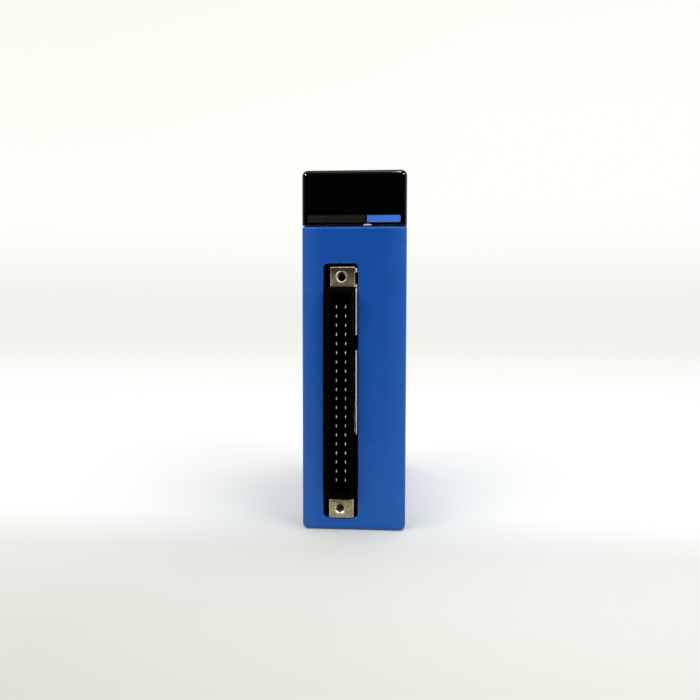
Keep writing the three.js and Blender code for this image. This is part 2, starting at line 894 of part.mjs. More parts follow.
// One column of blades with their tails to the board, on the strip that joins them in the body.
// Each piece ends inside the one that it joins.
function contactColumn(column) {
  const x = contactX(column);
  const tailY = tailBlockRearY + nearTailY + (1 - column) * tailSpacing;
  const thick = [x - bladeThickness / 2, x + bladeThickness / 2];
  const spineRear = tailBlockRearY - contactSpineInset;
  const spineMiddle = spineRear - contactSpineDepth / 2;
  const pieces = [box(thick, [spineRear - contactSpineDepth, spineRear], [pinZ(0), pinZ(pinRows - 1)])];
  for (let row = 0; row < pinRows; row++) {
    const z = pinZ(row);
    const low = [z - tailHeight / 2, z + tailHeight / 2];
    pieces.push(box(thick, [frontY - bladeRise, spineMiddle], [z - bladeHeight / 2, z + bladeHeight / 2]));
    pieces.push(box(thick, [spineMiddle - contactSpineDepth / 4, tailY], low));
    pieces.push(box([x, boardX], [tailY - tailThickness / 2, tailY + tailThickness / 2], low));
  }
  return joined(pieces);
}

function endBlock([x, z]) {
  const faceY = frontY - blockRise;
  const head = box(
    [x - blockWidth / 2, x + blockWidth / 2],
    [faceY, flangeFrontY],
    [z - blockHeight / 2, z + blockHeight / 2],
  );
  const post = rodAlongY(shankRadius, [flangeFrontY - nudge, flangeRearY + shankTail], x, z);
  const hole = turnedAboutY(
    [
      [0, faceY - nudge],
      [countersinkRadius, faceY - nudge],
      [countersinkRadius, faceY],
      [blockHoleRadius, faceY + countersinkDepth],
      [blockHoleRadius, flangeRearY + shankTail + nudge],
      [0, flangeRearY + shankTail + nudge],
    ],
    x,
    z,
  );
  return cutFrom(head.add(post), [hole]);
}

function postNut([x, z]) {
  const corner = nutAcrossFlats / 2 / Math.cos(Math.PI / 6);
  const body = rodAlongY(corner, [flangeRearY, flangeRearY + nutThickness], x, z, 6);
  const reach = [flangeRearY - nudge, flangeRearY + nutThickness + nudge];
  return cutFrom(body, [rodAlongY(shankRadius + fitGap, reach, x, z)]);
}

function connectorScreen() {
  const faceY = frontY + screenDrop;
  const plate = box(
    [screenX, screenX + screenThickness],
    [faceY, flangeFrontY],
    [screenBottom, screenTop],
  );
  const notches = [
    [upperBlockZ - blockNotchDrop, blockNotchHeight],
    [connectorZ + middleNotchLift, middleNotchHeight],
  ].map(([z, height]) =>
    box(
      [screenX - nudge, screenX + screenThickness + nudge],
      [faceY - nudge, faceY + screenNotchDepth],
      [z - height / 2, z + height / 2],
    ),
  );
  return cutFrom(plate, notches);
}

// The board, cut back at the top for the lamps in front and for the release well behind
function mainBoard() {
  const shelfBottom = frontCoverHeight - wallThickness - fitGap;
  const upperFrontY = frontY + shelfDepth + fitGap;
  const upperRearY = wellFrontY - wellWall - fitGap;
  const wellBottom = wellFloorZ - wellWall - fitGap;
  const outline = polygon([
    [boardFrontY, boardBottom],
    [boardRearY, boardBottom],
    [boardRearY, wellBottom],
    [upperRearY, wellBottom],
    [upperRearY, boardTop],
    [upperFrontY, boardTop],
    [upperFrontY, shelfBottom],
    [boardFrontY, shelfBottom],
  ]);
  return drawnAlongX(outline, [boardX, boardRight]);
}

function rearNoseHalf() {
  return ((rearContacts - 1) * rearPitch) / 2 + rearNoseMargin;
}

function rearGroove(side) {
  const faceX = rearX + (side * rearNoseWidth) / 2;
  const half = ((rearContacts - 1) * rearPitch) / 2 + rearContactWidth;
  const floorX = faceX - side * rearGrooveDepth;
  const openX = faceX + side * nudge;
  return box(
    [Math.min(floorX, openX), Math.max(floorX, openX)],
    [innerRear - rearBaseDepth + rearSpineDepth, rearY + rearNoseReach - rearTipSetback],
    [rearZ - half, rearZ + half],
  );
}

// The tongue that plugs into the base, on a foot against the board
function rearBody() {
  const half = rearNoseHalf();
  const foot = box(
    [rearX - rearNoseWidth / 2 - rearNoseMargin / 2, boardX - fitGap],
    [innerRear - rearBaseDepth, innerRear - fitGap],
    [rearZ - half - rearBaseMargin, rearZ + half + rearBaseMargin],
  );
  const tip = longEdgeRadius / 2;
  const nose = drawnAlongY(
    roundedOutline(
      [rearX - rearNoseWidth / 2, rearX + rearNoseWidth / 2],
      [rearZ - half, rearZ + half],
      [tip, tip, tip, tip],
    ),
    [innerRear - fitGap - nudge, rearY + rearNoseReach],
  );
  return cutFrom(foot.add(nose), [rearGroove(-1), rearGroove(1)]);
}

function rearContactRow(side) {
  const faceX = rearX + (side * rearNoseWidth) / 2;
  const inset = (rearGrooveDepth - rearContactThickness) / 2;
  const outer = faceX - side * inset;
  const inner = outer - side * rearContactThickness;
  const thick = [Math.min(inner, outer), Math.max(inner, outer)];
  const y0 = innerRear - rearBaseDepth + rearSpineDepth + fitGap;
  const half = ((rearContacts - 1) * rearPitch) / 2;
  const end = rearContactWidth / 2;
  const pieces = [box(thick, [y0, y0 + rearSpineDepth], [rearZ - half - end, rearZ + half + end])];
  for (let i = 0; i < rearContacts; i++) {
    const z = rearZ - half + i * rearPitch;
    const tipY = rearY + rearNoseReach - rearTipSetback - fitGap;
    pieces.push(box(thick, [y0, tipY], [z - end, z + end]));
  }
  return joined(pieces);
}

// Places of the display's layers, from the window backwards
const maskFrontY = coverInnerY + fitGap;
const maskRearY = maskFrontY + maskThickness;
const barFrontY = maskRearY + maskBarGap;
const lampBoardFrontY = barFrontY + barDepth;
const lampBoardRearY = lampBoardFrontY + lampBoardThickness;

function lampX(column) {
  return (column - (lampColumns - 1) / 2) * lampPitchX;
}

function lampZ(row) {
  return lampMiddleZ + (row - (lampRows - 1) / 2) * lampPitchZ;
}

function lampMask() {
  const plate = box(
    [-innerHalf + fitGap, innerHalf - fitGap],
    [maskFrontY, maskRearY],
    [lampZ(0) - lampPitchZ, innerTop - fitGap],
  );
  const windows = [];
  for (let row = 0; row < lampRows; row++) {
    for (let column = 0; column < lampColumns; column++) {
      windows.push(
        boxAt(
          [lampX(column), (maskFrontY + maskRearY) / 2, lampZ(row)],
          [lampWindowWidth, maskThickness + 2 * nudge, lampWindowHeight],
        ),
      );
    }
  }
  return cutFrom(plate, windows);
}

// Eight lamps in one moulded bar
function lampBar(row) {
  const half = ((lampColumns - 1) / 2) * lampPitchX + barMargin;
  const high = [lampZ(row) - barHeight / 2, lampZ(row) + barHeight / 2];
  const pieces = [box([-half, half], [barFrontY, lampBoardFrontY], high)];
  for (let column = 0; column < lampColumns; column++) {
    pieces.push(
      boxAt(
        [lampX(column), barFrontY - lampRise / 2 + nudge / 2, lampZ(row)],
        [lampWidth, lampRise + nudge, lampHeight],
      ),
    );
  }
  return joined(pieces);
}

function lampBoard() {
  return box(
    [-innerHalf + fitGap, innerHalf - fitGap],
    [lampBoardFrontY, lampBoardRearY],
    [lampBoardBottom, innerTop - fitGap],
  );
}

function lampPlug() {
  const base = boxAt(
    [plugX, lampBoardRearY + plugDepth / 2, plugZ],
    [plugWidth, plugDepth, plugHeight],
  );
  const tongue = boxAt(
    [plugX, lampBoardRearY + plugDepth + tongueReach / 2 - nudge / 2, plugZ],
    [tongueWidth, tongueReach + nudge, plugHeight - 2 * tongueMargin],
  );
  return base.add(tongue);
}

function lampSocket() {
  const y0 = lampBoardRearY + plugDepth + fitGap;
  const half = plugX - boardRight;
  const shell = box(
    [boardRight, boardRight + 2 * half],
    [y0, y0 + socketDepth],
    [plugZ - plugHeight / 2, plugZ + plugHeight / 2],
  );
  const slot = boxAt(
    [plugX, y0 + tongueReach / 2 - nudge / 2, plugZ],
    [tongueWidth + 2 * fitGap, tongueReach + nudge, plugHeight - 2 * tongueMargin + 2 * fitGap],
  );
  return cutFrom(shell, [slot]);
}

// A moulded package on the left face of the board, with leads along two or four sides
function packageOnBoard([y, z], [lengthY, lengthZ, height], leads, allRound) {
  const lift = leadRise / 4;
  const pieces = [
    boxAt([boardX - lift - height / 2, y, z], [height, lengthY, lengthZ]),
  ];
  const leadX = boardX - leadRise / 2;
  for (let i = 0; i < leads; i++) {
    const along = (i - (leads - 1) / 2) * leadPitch;
    for (const side of [-1, 1]) {
      const outZ = z + side * (lengthZ / 2 + leadReach / 2 - nudge / 2);
      const outY = y + side * (lengthY / 2 + leadReach / 2 - nudge / 2);
      pieces.push(boxAt([leadX, y + along, outZ], [leadRise, leadWidth, leadReach + nudge]));
      if (allRound) {
        pieces.push(boxAt([leadX, outY, z + along], [leadRise, leadReach + nudge, leadWidth]));
      }
    }
  }
  return joined(pieces);
}

function resistorArray(index) {
  const z = arrayFirstZ + index * arrayPitch;
  return drawnAlongX(
    roundedOutline(
      [arrayY - arrayWidth / 2, arrayY + arrayWidth / 2],
      [z - arrayLength / 2, z + arrayLength / 2],
      [0.4, 0.4, 0.4, 0.4],
    ),
    [boardX - arrayHeight, boardX],
  );
}

function capacitor(index) {
  const z = canFirstZ + index * canPitch;
  return rodAlongX(canRadius, [boardRight, boardRight + canLength], canY, z);
}

function crystal() {
  return boxAt(
    [boardX - crystalHeight / 2, crystalY, crystalZ],
    [crystalHeight, crystalLength, crystalWidth],
  );
}

// The button: a block in the well, ribbed on top, with a nose behind and an ear on each side
function releaseButton() {
  const middleY = (buttonFrontY + buttonRearY) / 2;
  const body = drawnAlongX(
    roundedOutline([buttonFrontY, buttonRearY], [buttonBottom, buttonTop], [0.3, 0.3, 0.8, 0.8]),
    [-buttonWidth / 2, buttonWidth / 2],
  );
  const noseBottom = noseTop - noseHeight;
  const nose = drawnAlongX(
    polygon([
      [buttonRearY - nudge, noseBottom],
      [buttonRearY + noseReach, noseTop - noseTip],
      [buttonRearY + noseReach, noseTop],
      [buttonRearY - nudge, noseTop],
    ]),
    [-noseWidth / 2, noseWidth / 2],
  );
  const ears = boxAt(
    [0, middleY, buttonBottom + earLift + earHeight / 2],
    [buttonWidth + 2 * earReach, earDepth, earHeight],
  );
  const ribs = [];
  for (let i = 0; i < gripRibs; i++) {
    const y = middleY + (i - (gripRibs - 1) / 2) * gripPitch;
    ribs.push(boxAt([0, y, buttonTop], [buttonWidth - 2 * wellWall, gripWidth, 2 * gripHeight]));
  }
  const pocket = rodAlongY(
    springPocketRadius,
    [-springPocketDepth, nudge],
    0,
    0,
    20,
  ).rotate([-90, 0, 0]);
  const seated = pocket.translate([0, middleY, buttonBottom]);
  return cutFrom(joined([body, nose, ears, ...ribs]), [seated]);
}

// The wire's middle line, from the well's floor to the roof of the button's pocket
function springPath() {
  const low = wellFloorZ + springSeatGap + springWire / 2;
  const high = buttonBottom + springPocketDepth - springSeatGap - springWire / 2;
  const steps = springTurns * stepsPerTurn;
  const points = [];
  for (let i = 0; i <= steps; i++) {
    const angle = (2 * Math.PI * i) / stepsPerTurn;
    points.push(
      new THREE.Vector3(
        springRadius * Math.cos(angle),
        (buttonFrontY + buttonRearY) / 2 + springRadius * Math.sin(angle),
        low + ((high - low) * i) / steps,
      ),
    );
  }
  return points;
}

function releaseSpring() {
  const path = springPath();
  const rise = path[1].z - path[0].z;
  const run = springRadius * ((2 * Math.PI) / stepsPerTurn);
  const values = [];
  path.forEach((point, i) => {
    const angle = (2 * Math.PI * i) / stepsPerTurn;
    const outward = new THREE.Vector3(Math.cos(angle), Math.sin(angle), 0);
    const tangent = new THREE.Vector3(-Math.sin(angle) * run, Math.cos(angle) * run, rise);
    const across = new THREE.Vector3().crossVectors(outward, tangent.normalize());
    for (let k = 0; k < sidesOfWire; k++) {
      const turn = (2 * Math.PI * k) / sidesOfWire;
      const ringPoint = point
        .clone()
        .addScaledVector(outward, (Math.cos(turn) * springWire) / 2)
        .addScaledVector(across, (Math.sin(turn) * springWire) / 2);
      values.push(...ringPoint.toArray());
    }
  });
  const corners = [];
  const last = path.length - 1;
  for (let i = 0; i < last; i++) {
    for (let k = 0; k < sidesOfWire; k++) {
      const a = i * sidesOfWire + k;
      const b = i * sidesOfWire + ((k + 1) % sidesOfWire);
      corners.push(a, b, a + sidesOfWire, b, b + sidesOfWire, a + sidesOfWire);
    }
  }
  for (let k = 1; k < sidesOfWire - 1; k++) {
    corners.push(0, k + 1, k);
    corners.push(last * sidesOfWire, last * sidesOfWire + k, last * sidesOfWire + k + 1);
  }
  printSpringGap(path);
  const geometry = new THREE.BufferGeometry();
  geometry.setAttribute("position", new THREE.Float32BufferAttribute(values, 3));
  geometry.setIndex(corners);
  const made = solidFrom(geometry);
  if (made.volume() > 0) return made;
  const turned = [];
  for (let i = 0; i < corners.length; i += 3) turned.push(corners[i], corners[i + 2], corners[i + 1]);
  geometry.setIndex(turned);
  return solidFrom(geometry);
}

function printSpringGap(path) {
  let least = Infinity;
  path.forEach((point, i) => {
    for (let j = i + stepsPerTurn / 2; j < path.length; j++) {
      least = Math.min(least, point.distanceTo(path[j]) - springWire);
    }
  });
  const verdict = least > springLeastGap ? "clear" : "too close";
  console.log("release spring: least gap to itself " + least.toFixed(2) + " mm, " + verdict);
}

place("case_shell", caseShell(), finishes.blueCasing);
place("side_cover", sideCover(), finishes.blueCasing);
place("side_label", sideLabel(), finishes.labelGrey);
place("front_cover", frontCover(), finishes.blueCasing);
place("display_cover", displayCover(), finishes.blackGloss);
place("display_latch", displayLatch(), finishes.latchGrey);
place("legend_strip", strip(legendLeft, legendWidth), finishes.darkLegend);
place("colour_band", strip(legendLeft + legendWidth + stripSpacing, bandWidth), finishes.brightBand);

place("lamp_mask", lampMask(), finishes.maskBlack);
for (let row = 0; row < lampRows; row++) {
  place("lamp_bar_" + (row + 1), lampBar(row), finishes.lampClear);
}
place("lamp_board", lampBoard(), finishes.boardGreen);
place("lamp_board_plug", lampPlug(), finishes.maskBlack);
place("lamp_board_socket", lampSocket(), finishes.maskBlack);

place("main_board", mainBoard(), finishes.boardGreen);
place("io_connector_body", connectorBody(), finishes.blackInsulator);
place("io_contacts_left", contactColumn(0), finishes.tinned);
place("io_contacts_right", contactColumn(1), finishes.tinned);
["upper", "lower"].forEach((end, i) => {
  place(end + "_end_block", endBlock(blockPlaces()[i]), finishes.nickel);
  place(end + "_block_nut", postNut(blockPlaces()[i]), finishes.nickel);
});
place("connector_screen", connectorScreen(), finishes.tinned);

place("rear_connector_body", rearBody(), finishes.blackInsulator);
place("rear_contacts_left", rearContactRow(-1), finishes.tinned);
place("rear_contacts_right", rearContactRow(1), finishes.tinned);

for (let i = 0; i < couplerCount; i++) {
  const solid = packageOnBoard(
    [couplerY, couplerFirstZ + i * couplerPitch],
    [couplerLength, couplerBody, couplerHeight],
    couplerLeadCount,
    false,
  );
  place("optocoupler_" + (i + 1), solid, finishes.chipBlack);
}
for (let i = 0; i < arrayCount; i++) {
  place("resistor_array_" + (i + 1), resistorArray(i), finishes.arrayBlack);
}
const chip = packageOnBoard([chipY, chipZ], [chipSize, chipSize, chipHeight], chipLeadCount, true);
place("interface_chip", chip, finishes.chipBlack);
place("capacitor_1", capacitor(0), finishes.canAluminium);
place("capacitor_2", capacitor(1), finishes.canAluminium);
place("oscillator", crystal(), finishes.canAluminium);

place("release_button", releaseButton(), finishes.releaseYellow);
place("release_spring", releaseSpring(), finishes.springSteel);

export default group;
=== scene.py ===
import math

import bmesh
import bpy
from mathutils import Matrix, Vector


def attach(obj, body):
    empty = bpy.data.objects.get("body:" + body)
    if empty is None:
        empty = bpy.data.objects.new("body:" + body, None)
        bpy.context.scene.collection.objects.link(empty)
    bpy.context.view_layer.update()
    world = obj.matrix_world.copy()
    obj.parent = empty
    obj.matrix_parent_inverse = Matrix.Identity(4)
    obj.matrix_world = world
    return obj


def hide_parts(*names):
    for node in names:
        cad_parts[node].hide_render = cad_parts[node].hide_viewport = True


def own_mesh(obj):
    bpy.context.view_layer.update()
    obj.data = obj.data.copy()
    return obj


# A slim input module for a controller rack, standing on a pale floor with its connector side
# towards the camera. Shapes are drawn in millimetres and scaled to metres once, in finishPiece.

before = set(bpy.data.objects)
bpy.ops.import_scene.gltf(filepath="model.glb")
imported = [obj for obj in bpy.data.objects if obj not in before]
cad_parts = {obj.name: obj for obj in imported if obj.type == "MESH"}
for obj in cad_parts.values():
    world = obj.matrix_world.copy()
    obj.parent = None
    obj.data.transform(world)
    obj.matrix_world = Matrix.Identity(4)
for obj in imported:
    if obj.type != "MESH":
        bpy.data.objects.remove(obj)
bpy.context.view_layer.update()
scene = bpy.context.scene
mm = 0.001


# Camera

cameraSetup = {
    "place": (14.18, -240.9, 62.9),  # mm
    "turn": 4.37,  # degrees to the left
    "tilt": -3.43,  # degrees, down
    "roll": -0.09,
    "lens": 37.13,
    "nearest": 0.01,
    "furthest": 50,
}


def turnAbout(axis, degrees):
    return Matrix.Rotation(math.radians(degrees), 4, axis)


def makeCamera(setup):
    data = bpy.data.cameras.new("studioCamera")
    data.sensor_width = 36
    data.lens = setup["lens"]
    data.clip_start = setup["nearest"]
    data.clip_end = setup["furthest"]
    camera = bpy.data.objects.new("studioCamera", data)
    scene.collection.objects.link(camera)
    place = Matrix.Translation(Vector(setup["place"]) * mm)
    aim = turnAbout("Z", setup["turn"]) @ turnAbout("X", setup["tilt"]) @ turnAbout("Y", setup["roll"])
    camera.matrix_world = place @ aim @ turnAbout("X", 90)
    scene.camera = camera


makeCamera(cameraSetup)
scene.view_settings.view_transform = "Standard"
print("camera set")


# Drawing tools: every draft is a mesh object in millimetres


def draftFrom(bm):
    bmesh.ops.remove_doubles(bm, verts=bm.verts, dist=1e-5)
    bmesh.ops.recalc_face_normals(bm, faces=bm.faces)
    mesh = bpy.data.meshes.new("draft")
    bm.to_mesh(mesh)
    bm.free()
    draft = bpy.data.objects.new("draft", mesh)
    scene.collection.objects.link(draft)
    return draft


# Stacks loops of equal point count into a closed skin
def addSkin(bm, loops):
    rings = [[bm.verts.new(point) for point in loop] for loop in loops]
    count = len(rings[0])
    for low, high in zip(rings, rings[1:]):
        for i in range(count):
            j = (i + 1) % count
            bm.faces.new((low[i], low[j], high[j], high[i]))
    bm.faces.new(rings[0][::-1])
    bm.faces.new(rings[-1])


def skinOf(*stacks):
    bm = bmesh.new()
    for loops in stacks:
        addSkin(bm, loops)
    return draftFrom(bm)


def boxLoops(spanX, spanY, spanZ):
    (x0, x1), (y0, y1), (z0, z1) = spanX, spanY, spanZ
    return [[(x0, y, z0), (x1, y, z0), (x1, y, z1), (x0, y, z1)] for y in (y0, y1)]


def box(spanX, spanY, spanZ):
    return skinOf(boxLoops(spanX, spanY, spanZ))


def boxes(spans):
    return skinOf(*[boxLoops(*span) for span in spans])


def around(middle, size):
    return (middle - size / 2, middle + size / 2)


# Points of a rectangle with one radius, or its own at each corner anticlockwise from the low left
def roundedLoop(spanU, spanV, radii, steps=6):
    (u0, u1), (v0, v1) = spanU, spanV
    radii = radii if isinstance(radii, (list, tuple)) else [radii] * 4
    corners = [(u0, v0, 1, 1, 180), (u1, v0, -1, 1, 270), (u1, v1, -1, -1, 0), (u0, v1, 1, -1, 90)]
    points = []
    for (u, v, inwardU, inwardV, start), radius in zip(corners, radii):
        for step in range(steps + 1):
            angle = math.radians(start + 90 * step / steps)
            points.append((
                u + inwardU * radius + radius * math.cos(angle),
                v + inwardV * radius + radius * math.sin(angle),
            ))
    return points


# An outline drawn out along one axis
def alongY(outline, spanY):
    return skinOf([[(u, y, v) for u, v in outline] for y in spanY])


def alongX(outline, spanX):
    return skinOf([[(x, u, v) for u, v in outline] for x in spanX])


def alongZ(outline, spanZ):
    return skinOf([[(u, v, z) for u, v in outline] for z in spanZ])


def ring(radius, y, x, z, sides=64):
    turns = [2 * math.pi * i / sides for i in range(sides)]
    return [(x + radius * math.cos(turn), y, z + radius * math.sin(turn)) for turn in turns]


# A turned shape about an axis along Y: the profile is a list of (radius, y)
def turnedAboutY(profile, x, z, sides=64):
    return skinOf([ring(radius, y, x, z, sides) for radius, y in profile])


def cylinder(radius, spanY, x, z, sides=64):
    return turnedAboutY([(radius, y) for y in spanY], x, z, sides)


# Boolean cut, join or meet with any number of tools, which are used up
def carve(base, tools, how="DIFFERENCE"):
    for tool in tools:
        modifier = base.modifiers.new("carve", "BOOLEAN")
        modifier.operation = how
        modifier.solver = "EXACT"
        modifier.object = tool
    graph = bpy.context.evaluated_depsgraph_get()
    result = bpy.data.meshes.new_from_object(base.evaluated_get(graph))
    base.modifiers.clear()
    spent = [base.data, *[tool.data for tool in tools]]
    base.data = result
    for tool in tools:
        bpy.data.objects.remove(tool)
    for mesh in spent:
        bpy.data.meshes.remove(mesh)
    return base


def join(drafts):
    return carve(drafts[0], drafts[1:], "UNION")


# Rounds the convex edges sharper than the angle, where pick(middle of the edge) says so
def soften(draft, width, segments=3, angle=40, pick=None):
    bm = bmesh.new()
    bm.from_mesh(draft.data)
    bmesh.ops.remove_doubles(bm, verts=bm.verts, dist=1e-4)
    bmesh.ops.dissolve_limit(bm, angle_limit=math.radians(0.5), verts=bm.verts, edges=bm.edges)
    sharp = []
    for edge in bm.edges:
        if len(edge.link_faces) != 2 or edge.calc_face_angle_signed() < math.radians(angle):
            continue
        middle = (edge.verts[0].co + edge.verts[1].co) / 2
        if pick is None or pick(middle):
            sharp.append(edge)
    bevel = {"offset": width, "offset_type": "OFFSET", "segments": segments, "profile": 0.5}
    bmesh.ops.bevel(bm, geom=sharp, affect="EDGES", clamp_overlap=True, **bevel)
    bm.to_mesh(draft.data)
    bm.free()
    return draft


# Turns a draft into a piece of the module: metres, shading, finish and the node it stands for
def finishPiece(draft, name, material, node, body="module", sharpAngle=50):
    draft.name = name
    mesh = draft.data
    mesh.name = name
    mesh.transform(Matrix.Scale(mm, 4))
    mesh.shade_smooth()
    mesh.set_sharp_from_angle(angle=math.radians(sharpAngle))
    even = draft.modifiers.new("evenNormals", "WEIGHTED_NORMAL")
    even.keep_sharp = True
    mesh.materials.clear()
    mesh.materials.append(material)
    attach(draft, body)
    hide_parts(node)
    print("piece:", name, len(mesh.polygons), "faces")


# Shader tools. A colour of three numbers is as a picture shows it, 0 to 255, and one of four is linear.


def tone(red, green, blue):
    linear = []
    for value in (red, green, blue):
        share = value / 255
        linear.append(share / 12.92 if share <= 0.04045 else ((share + 0.055) / 1.055) ** 2.4)
    return (*linear, 1.0)


def addNode(tree, kind, **settings):
    made = tree.nodes.new("ShaderNode" + kind)
    for key, value in settings.items():
        setattr(made, key, value)
    return made


# Sets a socket to a value or a colour, or links it to another node's socket
def feed(tree, value, socket):
    if isinstance(value, bpy.types.NodeSocket):
        tree.links.new(value, socket)
    elif socket.type == "RGBA" and len(value) == 3:
        socket.default_value = tone(*value)
    else:
        socket.default_value = value


def calculate(tree, operation, *values, clamp=False):
    made = addNode(tree, "Math", operation=operation, use_clamp=clamp)
    for value, socket in zip(values, made.inputs):
        feed(tree, value, socket)
    return made.outputs[0]


def times(tree, product, *values):
    for value in values:
        product = calculate(tree, "MULTIPLY", product, value)
    return product


def absolute(tree, value):
    return calculate(tree, "ABSOLUTE", value)


def mixed(tree, factor, first, second, blend="MIX"):
    made = addNode(tree, "Mix", data_type="RGBA", blend_type=blend)
    for value, i in ((factor, 0), (first, 6), (second, 7)):
        feed(tree, value, made.inputs[i])
    return made.outputs[2]


def mapped(tree, value, low, high, toLow=0.0, toHigh=1.0):
    made = addNode(tree, "MapRange", clamp=True)
    for given, socket in zip((value, low, high, toLow, toHigh), made.inputs):
        feed(tree, given, socket)
    return made.outputs[0]


def ramp(tree, factor, stops):
    made = addNode(tree, "ValToRGB")
    feed(tree, factor, made.inputs[0])
    elements = made.color_ramp.elements
    while len(elements) < len(stops):
        elements.new(0.5)
    for element, (position, colour) in zip(elements, stops):
        element.position = position
        element.color = tone(*colour)
    return made.outputs[0]


# The X, Y and Z of a vector, by letter or in order
def axesOf(tree, vector):
    split = addNode(tree, "SeparateXYZ")
    feed(tree, vector, split.inputs[0])
    return split.outputs


# Place on the object in millimetres
def placeOf(tree, stretch=(1, 1, 1)):
    made = addNode(tree, "Mapping")
    feed(tree, [1 / mm * value for value in stretch], made.inputs["Scale"])
    feed(tree, addNode(tree, "TexCoord").outputs["Object"], made.inputs["Vector"])
    return made.outputs[0]


def noise(tree, perMm, detail=2.0, roughness=0.5, stretch=(1, 1, 1)):
    made = addNode(tree, "TexNoise")
    values = {"Vector": placeOf(tree, stretch), "Scale": perMm, "Detail": detail, "Roughness": roughness}
    for label, value in values.items():
        feed(tree, value, made.inputs[label])
    return made.outputs[0]


# Soft spots whose strength lies between two values
def spots(tree, perMm, strength):
    return mapped(tree, noise(tree, perMm), 0.35, 0.65, *strength)


def cells(tree, feature, perMm, randomness=1.0):
    made = addNode(tree, "TexVoronoi", feature=feature)
    for label, value in {"Vector": placeOf(tree), "Scale": perMm, "Randomness": randomness}.items():
        feed(tree, value, made.inputs[label])
    return made.outputs


def newGroup(name, inputs, outputs):
    tree = bpy.data.node_groups.new(name, "ShaderNodeTree")
    for label, default in inputs.items():
        socket = tree.interface.new_socket(name=label, in_out="INPUT", socket_type="NodeSocketFloat")
        socket.default_value = default
    for label in outputs:
        tree.interface.new_socket(name=label, in_out="OUTPUT", socket_type="NodeSocketFloat")
    given = tree.nodes.new("NodeGroupInput").outputs
    wanted = tree.nodes.new("NodeGroupOutput").inputs
    return tree, given, wanted


# Spark-eroded grain of a mould: a fine height, and soft patches a few millimetres across
def makeGrainGroup():
    inputs = {"Grains per mm": 4.0, "Patches per mm": 0.12}
    tree, given, wanted = newGroup("mouldGrain", inputs, ["Height", "Patch"])
    fine = noise(tree, given["Grains per mm"], 3.0, 0.6)
    coarse = noise(tree, times(tree, given["Grains per mm"], 0.35))
    feed(tree, calculate(tree, "ADD", fine, times(tree, coarse, 0.6)), wanted["Height"])
    feed(tree, mapped(tree, noise(tree, given["Patches per mm"], 3.0, 0.55), 0.3, 0.7), wanted["Patch"])
    return tree


# Rubbed edges, which on the blue casing and the end blocks are partly painted highlights: where the surface
# turns within the radius, broken up by noise
def makeEdgeGroup():
    inputs = {"Radius mm": 0.4, "Breakup per mm": 1.2, "Reach": 0.5}
    tree, given, wanted = newGroup("rubbedAndHighlitEdges", inputs, ["Mask"])
    bevel = addNode(tree, "Bevel", samples=4)
    feed(tree, times(tree, given["Radius mm"], mm), bevel.inputs["Radius"])
    dot = addNode(tree, "VectorMath", operation="DOT_PRODUCT")
    feed(tree, bevel.outputs[0], dot.inputs[0])
    feed(tree, addNode(tree, "NewGeometry").outputs["Normal"], dot.inputs[1])
    turned = mapped(tree, calculate(tree, "SUBTRACT", 1.0, dot.outputs["Value"]), 0.01, 0.12)
    broken = mapped(tree, noise(tree, given["Breakup per mm"], 4.0, 0.65), 0.4, 0.62)
    strength = times(tree, turned, broken)
    feed(tree, calculate(tree, "MULTIPLY", strength, given["Reach"], clamp=True), wanted["Mask"])
    return tree


# Handling: faint long scratches, and smudges that change the gloss
def makeHandlingGroup():
    inputs = {"Scratches per mm": 0.22, "Smudges per mm": 0.09}
    tree, given, wanted = newGroup("handling", inputs, ["Scratch", "Smudge"])
    masks = []
    for stretch in ((1.0, 1.0, 0.06), (0.08, 1.0, 1.0)):
        lines = noise(tree, given["Scratches per mm"], 6.0, 0.72, stretch)
        thin = absolute(tree, calculate(tree, "SUBTRACT", lines, 0.5))
        masks.append(mapped(tree, thin, 0.0, 0.004, 1.0, 0.0))
    rare = mapped(tree, noise(tree, 0.11), 0.52, 0.66)
    feed(tree, times(tree, calculate(tree, "MAXIMUM", *masks), rare), wanted["Scratch"])
    feed(tree, mapped(tree, noise(tree, given["Smudges per mm"], 4.0, 0.6), 0.35, 0.7), wanted["Smudge"])
    return tree


# Dust: small specks all over, denser on faces that look up
def makeDustGroup():
    tree, given, wanted = newGroup("dust", {"Specks per mm": 1.4, "Share": 0.3}, ["Mask"])
    found = cells(tree, "F1", given["Specks per mm"])
    speck = mapped(tree, found["Distance"], 0.03, 0.09, 1.0, 0.0)
    chosen = addNode(tree, "SeparateColor")
    feed(tree, found["Color"], chosen.inputs[0])
    kept = calculate(tree, "LESS_THAN", chosen.outputs[0], given["Share"])
    up = axesOf(tree, addNode(tree, "NewGeometry").outputs["Normal"])["Z"]
    feed(tree, times(tree, speck, kept, mapped(tree, up, -0.2, 0.9, 0.25, 1.0)), wanted["Mask"])
    return tree


grainGroup = makeGrainGroup()
edgeGroup = makeEdgeGroup()
handlingGroup = makeHandlingGroup()
dustGroup = makeDustGroup()


def addGroup(tree, group, **values):
    made = tree.nodes.new("ShaderNodeGroup")
    made.node_tree = group
    for label, value in values.items():
        made.inputs[label.replace("_", " ")].default_value = value
    return made.outputs


def newMaterial(name, **constants):
    material = bpy.data.materials.new(name)
    material.use_nodes = True
    tree = material.node_tree
    shader = tree.nodes["Principled BSDF"]
    for label, value in constants.items():
        shader.inputs[label.replace("_", " ")].default_value = value
    return material, tree, shader


# Feeds the shader a colour, a roughness and a bump of the height, which is depth mm high
def dress(tree, shader, colour, rough, height, depth):
    bump = addNode(tree, "Bump")
    bump.inputs["Distance"].default_value = depth * mm
    feed(tree, height, bump.inputs["Height"])
    feed(tree, bump.outputs[0], shader.inputs["Normal"])
    feed(tree, colour, shader.inputs["Base Color"])
    feed(tree, rough, shader.inputs["Roughness"])
